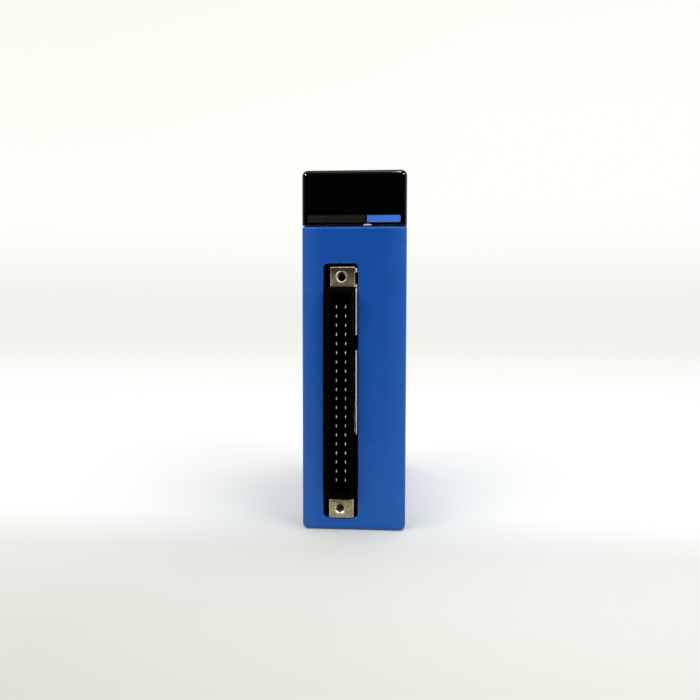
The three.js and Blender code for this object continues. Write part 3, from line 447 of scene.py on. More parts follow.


# Painted light and shade on plastic: lighter towards its foot and its front's sides, with a painted highlight
# line and a painted shadow band under the seam in front
def paintedLightAndShade(tree, look, colour):
    x, y, z = axesOf(tree, placeOf(tree))
    front = mapped(tree, y, *look["frontY"])
    # Painted light: the front grows lighter towards its outer sides
    beside = mapped(tree, absolute(tree, x), *look["sideLitX"], 0.0, look["sideLitShare"])
    # Painted highlight: a light line just below the seam, broken into spots
    seamHighlightBand = mapped(tree, absolute(tree, calculate(tree, "SUBTRACT", z, look["seamHighlightZ"])), *look["seamHighlightReach"])
    seamHighlightSpots = spots(tree, look["seamHighlightSpotsPerMm"], look["seamHighlightShare"])
    # Painted shadow: a dark band at the cover's top edge, under the seam
    seamShadeBelow = mapped(tree, z, *look["seamShadeFoot"])
    seamShadeAbove = mapped(tree, z, *look["seamShadeTop"])
    # Painted light: lighter towards the foot
    lower = mixed(tree, mapped(tree, z, *look["lowerLitZ"]), colour, look["lowerLitTone"])
    paler = mixed(tree, times(tree, front, beside), lower, look["sides"])
    seamHighlit = mixed(tree, times(tree, front, seamHighlightBand, seamHighlightSpots), paler, look["wornAndHighlight"])
    return mixed(tree, times(tree, front, seamShadeBelow, seamShadeAbove), seamHighlit, look["seamShadeTone"])


plasticBase = {
    "refraction": 1.48,
    "patchShow": 1.0,
    "grains": 6.0,  # per mm, like the patches
    "patches": 0.2,
    "grainDepth": 0.01,
    "edgeRadius": 0.2,
    "edgeWearAndHighlight": 0.2,
    "scratchesPerMm": 0.22,
    "scratches": 0.05,
    "smudge": 0.05,
    "dust": 0.05,
    "dustShow": 0.5,
    "dustRough": 0.3,
}


# Plastic or printed film: two close tones in patches, rubbed edges (on the blue casing partly painted
# highlights), fine grain, scratches and dust, and painted light and shade where a look asks for it
def plasticFinish(name, *changes):
    look = dict(plasticBase)
    for change in changes:
        look.update(change)
    material, tree, shader = newMaterial(name, IOR=look["refraction"], Specular_IOR_Level=look["shine"])
    grain = addGroup(tree, grainGroup, Grains_per_mm=look["grains"], Patches_per_mm=look["patches"])
    marks = addGroup(tree, handlingGroup, Scratches_per_mm=look["scratchesPerMm"])
    colour = mixed(tree, times(tree, grain["Patch"], look["patchShow"]), look["dark"], look["light"])
    if "lowerLitTone" in look:
        colour = paintedLightAndShade(tree, look, colour)
    if look["edgeWearAndHighlight"]:
        edges = addGroup(tree, edgeGroup, Radius_mm=look["edgeRadius"], Reach=look["edgeWearAndHighlight"])
        colour = mixed(tree, edges["Mask"], colour, look["wornAndHighlight"])
    scratchTone = look.get("scratchTone", look["wornAndHighlight"])
    colour = mixed(tree, times(tree, marks["Scratch"], look["scratches"]), colour, scratchTone)
    rough = calculate(tree, "MULTIPLY_ADD", marks["Smudge"], look["smudge"], look["roughness"])
    if look["dust"]:
        specks = addGroup(tree, dustGroup, Share=look["dust"])
        colour = mixed(tree, times(tree, specks["Mask"], look["dustShow"]), colour, look["dustTone"])
        rough = calculate(tree, "MULTIPLY_ADD", specks["Mask"], look["dustRough"], rough, clamp=True)
    dress(tree, shader, colour, rough, grain["Height"], look["grainDepth"])
    return material


blueCasing = plasticFinish("blueCasing", {
    "dark": (6, 68, 155),
    "light": (14, 75, 165),
    # painted light: the lighter tone towards the foot
    "lowerLitTone": (29, 88, 170),
    "lowerLitZ": (85.0, -5.0),  # mm, from none of the painted light to all of it
    "frontY": (-36.0, -41.0),  # mm, what follows is on the front only
    # painted light on the front's outer sides
    "sides": (41, 93, 172),
    "sideLitX": (9.0, 14.5),
    "sideLitShare": 0.75,
    # painted highlight line below the seam
    "seamHighlightZ": 84.52,
    "seamHighlightReach": (0.24, 0.08),
    "seamHighlightSpotsPerMm": 0.5,
    "seamHighlightShare": (0.3, 0.62),
    # painted shadow band under the seam
    "seamShadeTone": (2, 20, 62),
    "seamShadeFoot": (84.7, 84.8),
    "seamShadeTop": (85.15, 85.1),
    # tone of wear and scratches, and of the painted highlights along the edges and below the seam
    "wornAndHighlight": (92, 134, 190),
    "shine": 0.15,
    "roughness": 0.24,
    "smudge": 0.06,
    "grains": 5.0,
    "patches": 0.1,
    "grainDepth": 0.012,
    # edges rubbed wide and strong: partly wear, partly painted highlights along the rounded edges
    "edgeRadius": 0.5,
    "edgeWearAndHighlight": 0.8,
    "scratches": 0.1,
    "dust": 0.12,
    "dustTone": (150, 165, 190),
})
blackInsulator = plasticFinish("blackInsulator", {
    "dark": (1, 1, 1), "light": (3, 3, 4), "wornAndHighlight": (9, 9, 10), "shine": 0.02, "roughness": 0.55,
    "smudge": 0.08, "grainDepth": 0.008, "edgeWearAndHighlight": 0.08, "scratches": 0.06,
    "dust": 0.01, "dustTone": (50, 50, 52),
})
releaseYellow = plasticFinish("releaseYellow", {
    "dark": (222, 168, 22), "light": (232, 180, 30), "wornAndHighlight": (240, 205, 110), "shine": 0.45,
    "roughness": 0.36, "smudge": 0.1, "grains": 5.0, "edgeRadius": 0.3, "edgeWearAndHighlight": 0.3, "scratches": 0.2,
    "dust": 0.1, "dustTone": (150, 140, 110),
})
latchGrey = plasticFinish("latchGrey", {
    "dark": (206, 196, 196), "light": (214, 206, 206), "wornAndHighlight": (225, 220, 220), "shine": 0.4,
    "roughness": 0.3, "patches": 0.4, "grainDepth": 0.004, "edgeRadius": 0.1, "scratches": 0.1,
    "dustTone": (150, 150, 150),
})
maskBlack = plasticFinish("maskBlack", {
    "dark": (14, 14, 15), "light": (19, 19, 20), "wornAndHighlight": (50, 50, 52), "shine": 0.3, "roughness": 0.65,
    "patches": 0.3, "dustTone": (80, 80, 82),
})
chipBlack = plasticFinish("chipBlack", {
    "dark": (24, 25, 27), "light": (30, 31, 33), "wornAndHighlight": (70, 70, 72), "shine": 0.35, "roughness": 0.5,
    "smudge": 0.06, "grains": 8.0, "patches": 0.5, "grainDepth": 0.008, "edgeRadius": 0.12,
    "dustTone": (90, 90, 92),
})
# Polished smoked plastic of the display cover
displayBlack = plasticFinish("displayBlack", {
    "dark": (1, 1, 1), "light": (3, 3, 4), "wornAndHighlight": (40, 42, 48), "refraction": 1.49, "shine": 0.5,
    "roughness": 0.04, "patchShow": 0.4, "grains": 0.5, "patches": 0.15, "grainDepth": 0.0006,
    "edgeWearAndHighlight": 0.0, "scratchesPerMm": 0.3, "scratches": 0.12,
    "dust": 0.1, "dustTone": (90, 92, 98), "dustShow": 0.3, "dustRough": 0.4,
})
# Printed film of the two strips and the blank label
film = {
    "refraction": 1.46, "shine": 0.25, "roughness": 0.26, "smudge": 0.1,
    "grains": 8.0, "patches": 0.25, "grainDepth": 0.002, "edgeRadius": 0.12, "edgeWearAndHighlight": 0.35,
    "scratchesPerMm": 0.4, "scratches": 0.15, "scratchTone": (190, 190, 190), "dust": 0.0,
}
legendDark = plasticFinish("legendDark", film, {
    "dark": (17, 17, 10), "light": (22, 22, 14), "wornAndHighlight": (62, 62, 54),
})
bandBlue = plasticFinish("bandBlue", film, {
    "dark": (59, 107, 199), "light": (64, 112, 206), "wornAndHighlight": (104, 152, 246),
})
labelGrey = plasticFinish("labelGrey", film, {
    "dark": (196, 199, 202), "light": (204, 207, 210), "wornAndHighlight": (244, 247, 250), "roughness": 0.42,
})


# Painted shade: plating that grows darker towards a height, as in the shadow of an edge above
def shadedTowardsTop(tree, look, colour):
    height = axesOf(tree, placeOf(tree))["Z"]
    share = mapped(tree, height, *look["topShadeZ"], 0.0, look["topShadeShare"])
    return mixed(tree, share, colour, look["topShadeTone"])


# A front blade painted as lit and shaded: a bright dull tip, and behind it plating painted dark as the shade
# inside the shroud
def litTipShadedShank(tree, shader, look, colour):
    behind = mapped(tree, axesOf(tree, placeOf(tree))["Y"], *look["tip"])
    feed(tree, mapped(tree, behind, 0.0, 1.0, look["tipMetal"], look["metal"]), shader.inputs["Metallic"])
    return mixed(tree, behind, colour, look["shankShade"])


# Painted highlights in spots on chamfers and slopes that face forwards and up or sideways
def litSlopes(tree, look):
    x, y, z = axesOf(tree, addNode(tree, "TexCoord").outputs["Normal"])
    sideways = times(tree, absolute(tree, x), look["sideLitShare"])
    turned = mapped(tree, calculate(tree, "MAXIMUM", z, sideways), *look["litSlope"])
    forwards = mapped(tree, y, -0.2, -0.4)
    return times(tree, turned, forwards, spots(tree, look["litSpotsPerMm"], look["litSpotShare"]))


platingBase = {
    "metal": 1.0,
    "stainsPerMm": 1.6,
    "drawn": (1.0, 0.3, 1.0),  # the fine lines are long where this is small
    "linesPerMm": 5.0,
    "pitsPerMm": 6.0,
    "lineStain": 0.35,
    "roughness": 0.4,
    "roughChange": 0.1,
    "edgeRadius": 0.08,
    "edgeWearAndHighlight": 0.5,
    "edgePolish": 0.12,
    "lineShare": 0.6,
    "relief": 0.004,
}


# Plated metal: a base tone with stains, fine drawn lines along one direction and rubbed edges, which on the
# end blocks are partly painted highlights; where a look asks for them, also painted highlights on slopes,
# painted shade towards a height or a painted lit tip
def platedMetal(name, changes):
    look = {**platingBase, **changes}
    material, tree, shader = newMaterial(name, Metallic=look["metal"])
    stains = noise(tree, look["stainsPerMm"], 5.0, 0.65)
    lines = noise(tree, look["linesPerMm"], 3.0, 0.6, look["drawn"])
    pits = noise(tree, look["pitsPerMm"])
    edges = addGroup(tree, edgeGroup, Radius_mm=look["edgeRadius"], Reach=look["edgeWearAndHighlight"])
    stained = mixed(tree, mapped(tree, stains, 0.35, 0.68), look["bright"], look["stain"])
    lined = mixed(tree, mapped(tree, lines, 0.4, 0.7, 0.0, look["lineStain"]), stained, look["stain"])
    # painted shade towards the top
    if "topShadeZ" in look:
        lined = shadedTowardsTop(tree, look, lined)
    rubbedAndLit = edges["Mask"]
    # painted highlights on slopes, which are made less metallic there
    if "litSlope" in look:
        rubbedAndLit = calculate(tree, "MAXIMUM", rubbedAndLit, litSlopes(tree, look))
        feed(tree, mapped(tree, rubbedAndLit, 0.0, 1.0, look["metal"], look["litSlopeMetal"]), shader.inputs["Metallic"])
    wornAndHighlight = mixed(tree, rubbedAndLit, lined, look["polishedAndHighlight"])
    # painted lit tip, and painted shade behind it
    if "tip" in look:
        wornAndHighlight = litTipShadedShank(tree, shader, look, wornAndHighlight)
    dull = mapped(tree, stains, 0.3, 0.7, look["roughness"], look["roughness"] + look["roughChange"])
    rough = calculate(tree, "MULTIPLY_ADD", edges["Mask"], -look["edgePolish"], dull)
    height = calculate(tree, "MULTIPLY_ADD", lines, look["lineShare"], pits)
    dress(tree, shader, wornAndHighlight, rough, height, look["relief"])
    return material


blockNickel = platedMetal("blockNickel", {
    # painted highlights in spots on slopes that face up or sideways
    "litSlopeMetal": 0.25,
    "litSlope": (0.12, 0.4),  # upward part of the normal, from none to all
    "sideLitShare": 0.5,
    "litSpotsPerMm": 1.3,
    "litSpotShare": (0.08, 0.85),
    "bright": (196, 185, 152),
    "stain": (134, 118, 86),
    "polishedAndHighlight": (244, 238, 222),
    # painted shade over the upper block's top, where the opening's edge shades it
    "topShadeTone": (30, 22, 12),
    "topShadeZ": (68.6, 72.8),  # mm, from none to the share
    "topShadeShare": 0.88,
    "stainsPerMm": 1.5,
    "drawn": (1.0, 1.0, 0.6),
    "linesPerMm": 2.6,
    "pitsPerMm": 2.6,
    "roughness": 0.34,
    "roughChange": 0.14,
    # rims rubbed strongly: partly wear, partly painted highlights
    "edgeRadius": 0.18,
    "edgeWearAndHighlight": 0.9,
    "lineShare": 0.5,
    "relief": 0.03,
})
contactTin = platedMetal("contactTin", {
    "bright": (228, 226, 224), "stain": (200, 197, 194), "polishedAndHighlight": (240, 240, 240),
})
bladeTin = platedMetal("bladeTin", {
    "bright": (253, 252, 249), "stain": (246, 244, 240), "polishedAndHighlight": (245, 245, 243),
    # painted lit tip: dull white, not metallic; behind it painted shade
    "tipMetal": 0.0,
    "tip": (-42.79, -42.76),  # y in mm where the bright tip ends
    "shankShade": (42, 41, 39),
})
screenTin = platedMetal("screenTin", {
    "bright": (228, 223, 226), "stain": (208, 205, 209), "polishedAndHighlight": (236, 233, 236), "metal": 0.05,
    "stainsPerMm": 0.5, "linesPerMm": 3.0, "pitsPerMm": 4.0, "roughness": 0.45,
    "edgeRadius": 0.1, "edgeWearAndHighlight": 0.3,
})
springSteel = platedMetal("springSteel", {
    "bright": (196, 198, 202), "stain": (140, 140, 142), "polishedAndHighlight": (226, 226, 228),
    "drawn": (1.0, 1.0, 1.0), "stainsPerMm": 1.2, "linesPerMm": 6.0, "pitsPerMm": 7.0, "roughness": 0.28,
    "edgeRadius": 0.05, "edgeWearAndHighlight": 0.3, "lineShare": 0.4, "relief": 0.003,
})
canAluminium = platedMetal("canAluminium", {
    "bright": (205, 208, 212), "stain": (172, 175, 180), "polishedAndHighlight": (235, 235, 238),
    "drawn": (0.2, 1.0, 1.0), "stainsPerMm": 0.5, "linesPerMm": 4.0, "pitsPerMm": 4.0,
    "roughness": 0.3, "roughChange": 0.08, "edgeRadius": 0.2, "edgeWearAndHighlight": 0.3, "lineShare": 0.7,
})


# Solder mask over copper tracks, with round pads
def boardGreen():
    look = {
        "mask": (20, 74, 44), "track": (34, 104, 62), "pad": (196, 186, 150), "cell": 0.45, "order": 0.35,
        "trackEdge": (0.06, 0.09), "padEdge": (0.14, 0.17), "roughness": 0.42, "padPolish": 0.15,
        "relief": 0.03, "padMetal": 0.8,
    }
    material, tree, shader = newMaterial("boardGreen", IOR=1.5)
    edges = cells(tree, "DISTANCE_TO_EDGE", look["cell"], look["order"])
    track = mapped(tree, edges["Distance"], *look["trackEdge"], 1.0, 0.0)
    middles = cells(tree, "F1", look["cell"], look["order"])
    pad = mapped(tree, middles["Distance"], *look["padEdge"], 1.0, 0.0)
    copper = mixed(tree, track, look["mask"], look["track"])
    rough = calculate(tree, "MULTIPLY_ADD", pad, -look["padPolish"], look["roughness"])
    colour = mixed(tree, pad, copper, look["pad"])
    dress(tree, shader, colour, rough, calculate(tree, "ADD", track, pad), look["relief"])
    feed(tree, times(tree, pad, look["padMetal"]), shader.inputs["Metallic"])
    return material


# Clear diffusing plastic of the lamp bars
def lampClear():
    material, tree, shader = newMaterial(
        "lampClear", IOR=1.5, Transmission_Weight=0.35, Subsurface_Weight=0.3
    )
    grain = addGroup(tree, grainGroup, Grains_per_mm=5.0, Patches_per_mm=0.5)
    colour = mixed(tree, grain["Patch"], (200, 226, 208), (220, 238, 226))
    rough = calculate(tree, "MULTIPLY_ADD", grain["Patch"], 0.1, 0.2)
    dress(tree, shader, colour, rough, grain["Height"], 0.005)
    return material


boardFinish = boardGreen()
lampFinish = lampClear()
print("finishes ready")


# Casing sizes that several pieces share, in mm

casing = {
    "width": 29.0,
    "height": 100.4,
    "depth": 83.2,
    "wall": 1.5,
    "frontWall": 1.8,
    "longEdge": 1.65,
    "frontFillet": 1.4,
    "coverDepth": 14.0,
    "displayHeight": 15.15,
    "seam": 0.3,
    "fit": 0.3,
}
wall, seam, fit = casing["wall"], casing["seam"], casing["fit"]
fullHeight = casing["height"]
halfWidth = casing["width"] / 2
frontY = -casing["depth"] / 2
rearY = casing["depth"] / 2
coverBackY = frontY + casing["coverDepth"]
caseFrontY = coverBackY + seam
innerHalf = halfWidth - wall
innerTop = fullHeight - wall
innerRear = rearY - wall
coverInnerY = frontY + casing["frontWall"]
displayBottom = fullHeight - casing["displayHeight"]
coverTop = displayBottom - seam
past = 0.5  # how far a cutting tool runs past the face it cuts
near = 0.02  # an edge this close to a face is on it
everywhere = (-halfWidth - past, halfWidth + past)


def frontForm(steps=8):
    loops = []
    fillet = casing["frontFillet"]
    for step in range(steps + 1):
        angle = math.radians(90 * step / steps)
        inset = fillet * (1 - math.sin(angle))
        y = frontY + fillet * (1 - math.cos(angle))
        spanU = (-halfWidth + inset, halfWidth - inset)
        spanV = (inset, fullHeight - inset)
        outline = roundedLoop(spanU, spanV, casing["longEdge"] - inset, steps=8)
        loops.append([(u, y, v) for u, v in outline])
    loops.append([(x, coverBackY, z) for x, y, z in loops[-1]])
    return skinOf(loops)


# Windows in both side walls of a cover, for the nubs on the case's collar
latchNubs = {
    "height": 5.0,
    "depth": 1.4,
    "inset": 0.8,
    "reach": 4.0,
    "front": (14.0, 68.25),
    "display": (91.75,),
}


def nubMiddleY():
    return caseFrontY - latchNubs["reach"] + latchNubs["inset"] + latchNubs["depth"] / 2


def latchWindows(heights):
    gap = 2 * fit
    spans = []
    for z in heights:
        for side in (-1, 1):
            spans.append((
                around(side * (halfWidth - wall / 2), wall + 2 * past),
                around(nubMiddleY(), latchNubs["depth"] + gap),
                around(z, latchNubs["height"] + gap),
            ))
    return boxes(spans)


# Front cover

frontCover = {
    "shelfDepth": 9.0,
    "openingX": (-8.49, 1.14),
    "openingZ": (3.44, 74.82),
    "openingRadii": (1.4, 1.4, 1.1, 1.1),
    "openingRim": 0.32,
    "seamRim": 0.34,
    "innerRim": 0.15,
    "sealHeight": 0.24,  # a low rib on the shelf keeps light out of the seam
    "sealInset": 0.6,
    "sealThickness": 0.4,
    "sealSetback": 1.0,
}


def sealRib():
    look = frontCover
    x0 = halfWidth - look["sealInset"]
    y0 = frontY + look["sealInset"]
    x1, y1 = x0 - look["sealThickness"], y0 + look["sealThickness"]
    back = frontY + look["shelfDepth"] - look["sealSetback"]
    outside = [(-x0, back), (-x0, y0), (x0, y0), (x0, back)]
    inside = [(x1, back), (x1, y1), (-x1, y1), (-x1, back)]
    return alongZ(outside + inside, (coverTop - past, coverTop + look["sealHeight"]))


def makeFrontCover():
    look = frontCover
    below = box(everywhere, (frontY - past, coverBackY + past), (-past, coverTop))
    cover = carve(frontForm(), [below], "INTERSECT")
    inside = (-innerHalf, innerHalf)
    hollow = box(inside, (coverInnerY, coverBackY + past), (wall, coverTop - wall))
    shelfY = frontY + look["shelfDepth"]
    behindShelf = box(inside, (shelfY, coverBackY + past), (wall, coverTop + past))
    outline = roundedLoop(look["openingX"], look["openingZ"], look["openingRadii"], steps=8)
    opening = alongY(outline, (frontY - past, coverInnerY + past))
    carve(cover, [hollow, behindShelf, opening, latchWindows(latchNubs["front"])])
    underSeam = coverTop - look["seamRim"]
    soften(cover, look["openingRim"], 4, pick=lambda at: at.y < frontY + near and at.z < underSeam)
    soften(cover, look["seamRim"], 4, pick=lambda at: at.z > coverTop - near)
    carve(cover, [sealRib()], "UNION")
    soften(cover, look["innerRim"], 2)
    finishPiece(cover, "frontCover", blueCasing, "front_cover")


# Display cover with the field for its two strips and the notch for a tool

displayCover = {
    "fieldX": (-12.93, 12.83),
    "fieldZ": (85.95, 88.03),
    "fieldRadii": (0.25, 0.5, 0.5, 0.25),
    "stripRecess": 0.3,
    "notchX": 3.7,
    "notchWidth": 2.9,
    "notchHeight": 0.5,
    "seamRim": 0.34,
    "innerRim": 0.12,
    "fieldRim": 0.05,
    "fieldReach": (0.1, 0.2),  # how far behind the front and around the field its rim is looked for
}


def notchArc():
    look = displayCover
    radius = (look["notchWidth"] ** 2 / 4 + look["notchHeight"] ** 2) / (2 * look["notchHeight"])
    return radius, displayBottom + look["notchHeight"] - radius


def makeDisplayCover():
    look = displayCover
    above = box(everywhere, (frontY - past, coverBackY + past), (displayBottom, fullHeight + past))
    cover = carve(frontForm(), [above], "INTERSECT")
    inside = (-innerHalf, innerHalf)
    hollow = box(inside, (coverInnerY, coverBackY + past), (displayBottom - past, innerTop))
    radius, middleZ = notchArc()
    notch = cylinder(radius, (frontY - past, coverInnerY + past), look["notchX"], middleZ, 128)
    carve(cover, [hollow, notch, latchWindows(latchNubs["display"])])
    notchTop = displayBottom + look["notchHeight"] + near
    soften(cover, look["seamRim"], 4, pick=lambda at: at.z < notchTop)
    outline = roundedLoop(look["fieldX"], look["fieldZ"], look["fieldRadii"], steps=5)
    carve(cover, [alongY(outline, (frontY - past, frontY + look["stripRecess"]))])
    behind, beyond = look["fieldReach"]
    low, high = look["fieldZ"][0] - beyond, look["fieldZ"][1] + beyond
    soften(cover, look["fieldRim"], 2, pick=lambda at: at.y < frontY + behind and low < at.z < high)
    soften(cover, look["innerRim"], 2)
    finishPiece(cover, "displayCover", displayBlack, "display_cover")


strips = {
    "back": 0.3,
    "thickness": 0.25,
    "z": (86.03, 87.95),
    "legendX": (-12.85, 3.15),
    "legendRadii": (0.2, 0.12, 0.12, 0.2),
    "bandX": (3.55, 12.75),
    "bandRadii": (0.12, 0.45, 0.45, 0.12),
    "rim": 0.07,
}


def makeStrips():
    look = strips
    y0 = frontY + look["back"] - look["thickness"]
    spanY = (y0, y0 + look["thickness"])
    legend = alongY(roundedLoop(look["legendX"], look["z"], look["legendRadii"], steps=5), spanY)
    soften(legend, look["rim"], 2)
    finishPiece(legend, "legendStrip", legendDark, "legend_strip")
    band = alongY(roundedLoop(look["bandX"], look["z"], look["bandRadii"]), spanY)
    soften(band, look["rim"], 2)
    finishPiece(band, "colourBand", bandBlue, "colour_band")


# Latch on the front cover's shelf: its nose shows in the notch

latch = {
    "noseWidth": 2.4,
    "noseGap": 0.1,
    "noseSetback": 0.06,
    "noseSink": 0.04,
    "noseSlope": 0.5,
    "noseSteps": 12,
    "footLength": 6.0,
    "footHeight": 1.1,
    "catchHeight": 2.0,
    "catchThickness": 0.8,
    "sillHeight": 0.2,
    "rim": 0.06,
}


def makeLatch():
    look = latch
    radius, middleZ = notchArc()
    radius -= look["noseGap"]
    half = look["noseWidth"] / 2
    reach = math.asin(half / radius)
    middleX = displayCover["notchX"]
    low = displayBottom - look["noseSink"]
    outline = [(middleX + half, low)]
    for step in range(look["noseSteps"] + 1):
        angle = reach * (1 - 2 * step / look["noseSteps"])
        outline.append((middleX + radius * math.sin(angle), middleZ + radius * math.cos(angle)))
    outline.append((middleX - half, low))
    faceY = frontY + look["noseSetback"]
    frontLoop = [(x, faceY + look["noseSlope"] * (z - low), z) for x, z in outline]
    nose = skinOf([frontLoop, [(x, coverInnerY, z) for x, z in outline]])
    width = around(middleX, look["noseWidth"])
    behind = coverInnerY + fit
    sill = box(width, (coverInnerY - past, behind + past), (coverTop, coverTop + look["sillHeight"]))
    foot = box(width, (behind, behind + look["footLength"]), (coverTop, coverTop + look["footHeight"]))
    hook = box(width, (behind, behind + look["catchThickness"]), (coverTop, coverTop + look["catchHeight"]))
    whole = join([nose, sill, foot, hook])
    soften(whole, look["rim"], 2)
    finishPiece(whole, "displayLatch", latchGrey, "display_latch")


makeFrontCover()
makeDisplayCover()
makeStrips()
makeLatch()
print("front covers made")


# Front connector

connector = {
    "x": -3.57,
    "z": 38.89,
    "pitch": 2.54,
    "rows": 20,
    "shroudWidth": 7.16,
    "shroudHalf": 29.08,
    "shroudCorner": 0.4,
    "wall": 0.8,
    "endWall": 1.4,
    "rise": 4.0,
    "cavityDepth": 8.6,
    "keyOffset": 14.0,
    "keyHeight": 4.1,
    "keyDepth": 2.2,
    "flangeFront": 2.2,
    "flangeThickness": 5.9,
    "flangeOverhang": 0.55,
    "flangeRight": 1.9,
    "tailDepth": 3.2,
    "tailMargin": 1.6,
    "bladeThickness": 0.35,
    "bladeHeight": 1.1,
    "bladeRise": 1.2,
    "bladeGap": 0.06,
    "bladeShift": (0.12, -0.14),  # the rows of contacts sit a little right of and below the middle
    "pocketDepth": 0.3,
    "pocketGap": 0.25,
    "mouthRim": 0.25,
    "rim": 0.12,
}
flangeFrontY = frontY + connector["flangeFront"]
flangeRearY = flangeFrontY + connector["flangeThickness"]
tailRearY = flangeRearY + connector["tailDepth"]
shroudFrontY = frontY - connector["rise"]
cavityFloorY = shroudFrontY + connector["cavityDepth"]


def bladePlaces(column):
    right, up = connector["bladeShift"]
    x = connector["x"] + right + (column - 0.5) * connector["pitch"]
    low = connector["z"] + up - (connector["rows"] - 1) / 2 * connector["pitch"]
    return [(x, low + row * connector["pitch"]) for row in range(connector["rows"])]


def bladeTools(gap, spanY):
    look = connector
    spans = []
    for x, z in bladePlaces(0) + bladePlaces(1):
        wide = around(x, look["bladeThickness"] + 2 * gap)
        spans.append((wide, spanY, around(z, look["bladeHeight"] + 2 * gap)))
    return boxes(spans)


blocks = {
    "rise": 0.6,
    "upper": (-3.22, 71.245),  # middle of the post
    "lower": (-3.47, 6.535),
    "postRadius": 2.0,
    "postTail": 2.6,
    "holeRadius": 1.12,
    "threadDepth": 0.12,
    "threadPitch": 0.4,
    "threadStart": 1.4,
    "threadSides": 48,
    "threadSteps": 6,
    "sinkRadius": 1.44,
    "sinkDepth": 0.22,
    "lipProfile": (  # radius, depth
        (1.85, 0.2), (1.78, 0.0), (1.62, -0.04), (1.5, -0.07), (1.36, -0.07), (1.04, 0.2),
    ),
    "corner": 0.3,
    "leastCorner": 0.04,
    "chamfer": 0.18,
    "chamferDrop": 0.12,
    "rim": 0.06,
    "crownInsets": (0.0, 0.5, 1.0, 1.6, 2.2),
}
blockFaces = {  # x and z of the head, middle of the hole, radius of the slightly domed face
    "upper": {"x": (-6.53, 0.33), "z": (68.27, 73.87), "hole": (-3.37, 70.98), "crown": 70.0},
    "lower": {"x": (-6.84, 0.05), "z": (3.66, 9.05), "hole": (-3.73, 6.45), "crown": 60.0},
}


def makeConnectorBody():
    look = connector
    openX, openZ = frontCover["openingX"], frontCover["openingZ"]
    over = look["flangeOverhang"]
    flangeZ = (openZ[0] - over, openZ[1] + over)
    flange = box((openX[0] - over, look["flangeRight"]), (flangeFrontY, flangeRearY), flangeZ)
    spanX = around(look["x"], look["shroudWidth"])
    spanZ = (look["z"] - look["shroudHalf"], look["z"] + look["shroudHalf"])
    outline = roundedLoop(spanX, spanZ, look["shroudCorner"])
    shroud = alongY(outline, (shroudFrontY, flangeFrontY + past))
    pinHalf = look["pitch"] * (look["rows"] - 1) / 2
    tails = box(spanX, (flangeRearY - past, tailRearY), around(look["z"], 2 * (pinHalf + look["tailMargin"])))
    body = join([flange, shroud, tails])
    mouthX = (spanX[0] + look["wall"], spanX[1] - look["wall"])
    mouthZ = (spanZ[0] + look["endWall"], spanZ[1] - look["endWall"])
    mouth = box(mouthX, (shroudFrontY - past, cavityFloorY), mouthZ)
    keys = boxes([
        (
            around(spanX[1], 2 * look["wall"] + past),
            around(shroudFrontY, 2 * look["keyDepth"]),
            around(look["z"] + side * look["keyOffset"], look["keyHeight"]),
        )
        for side in (-1, 1)
    ])
    through = (flangeFrontY - past, flangeRearY + past)
    bores = [cylinder(blocks["postRadius"] + fit, through, *blocks[end]) for end in ("upper", "lower")]
    carve(body, [mouth, keys, *bores])
    soften(body, look["mouthRim"], 3, pick=lambda at: at.y < shroudFrontY + look["keyDepth"] + near)
    carve(body, [bladeTools(look["pocketGap"], (cavityFloorY - past, cavityFloorY + look["pocketDepth"]))])
    carve(body, [bladeTools(look["bladeGap"], (cavityFloorY - past, tailRearY + past))])
    soften(body, look["rim"], 2, pick=lambda at: abs(at.y - flangeFrontY) < near)
    finishPiece(body, "connectorBody", blackInsulator, "io_connector_body")


# A blade with a rounded tip, a narrower tail and a bend to the board
contacts = {
    "tipSteps": (  # depth, and shares of the height and the thickness
        (0.0, 0.66, 0.5), (0.06, 0.78, 0.62), (0.14, 0.88, 0.78), (0.28, 0.96, 0.92), (0.5, 1.0, 1.0),
    ),
    "tailHeight": 0.6,
    "tailThickness": 0.5,
    "neckInset": 2.4,
    "neckLength": 0.3,
    "nearTail": 2.2,
    "tailSpacing": 1.8,
    "boardX": 2.2,
}


def bladeLoops(x, z, column):
    look = contacts
    tipY = frontY - connector["bladeRise"]
    thick, high = connector["bladeThickness"], connector["bladeHeight"]
    neckY = tailRearY - look["neckInset"]
    bendY = tailRearY + look["nearTail"] + (1 - column) * look["tailSpacing"]

    def section(leftY, rightY, spanX, height):
        (x0, x1), low, top = spanX, z - height / 2, z + height / 2
        return [(x0, leftY, low), (x1, rightY, low), (x1, rightY, top), (x0, leftY, top)]

    wide = around(x, thick)
    loops = []
    for back, highShare, wideShare in look["tipSteps"]:
        loops.append(section(tipY + back, tipY + back, around(x, thick * wideShare), high * highShare))
    loops.append(section(neckY, neckY, wide, high))
    neckEnd = neckY + look["neckLength"]
    inner, outer = around(bendY, look["tailThickness"])
    for leftY, rightY in ((neckEnd, neckEnd), (inner, inner), (outer, inner)):
        loops.append(section(leftY, rightY, wide, look["tailHeight"]))
    loops.append(section(outer, inner, (look["boardX"], look["boardX"]), look["tailHeight"]))
    return loops


def makeContacts():
    for column, side in enumerate(("left", "right")):
        rows = skinOf(*[bladeLoops(x, z, column) for x, z in bladePlaces(column)])
        finishPiece(rows, side + "Blades", bladeTin, "io_contacts_" + side)


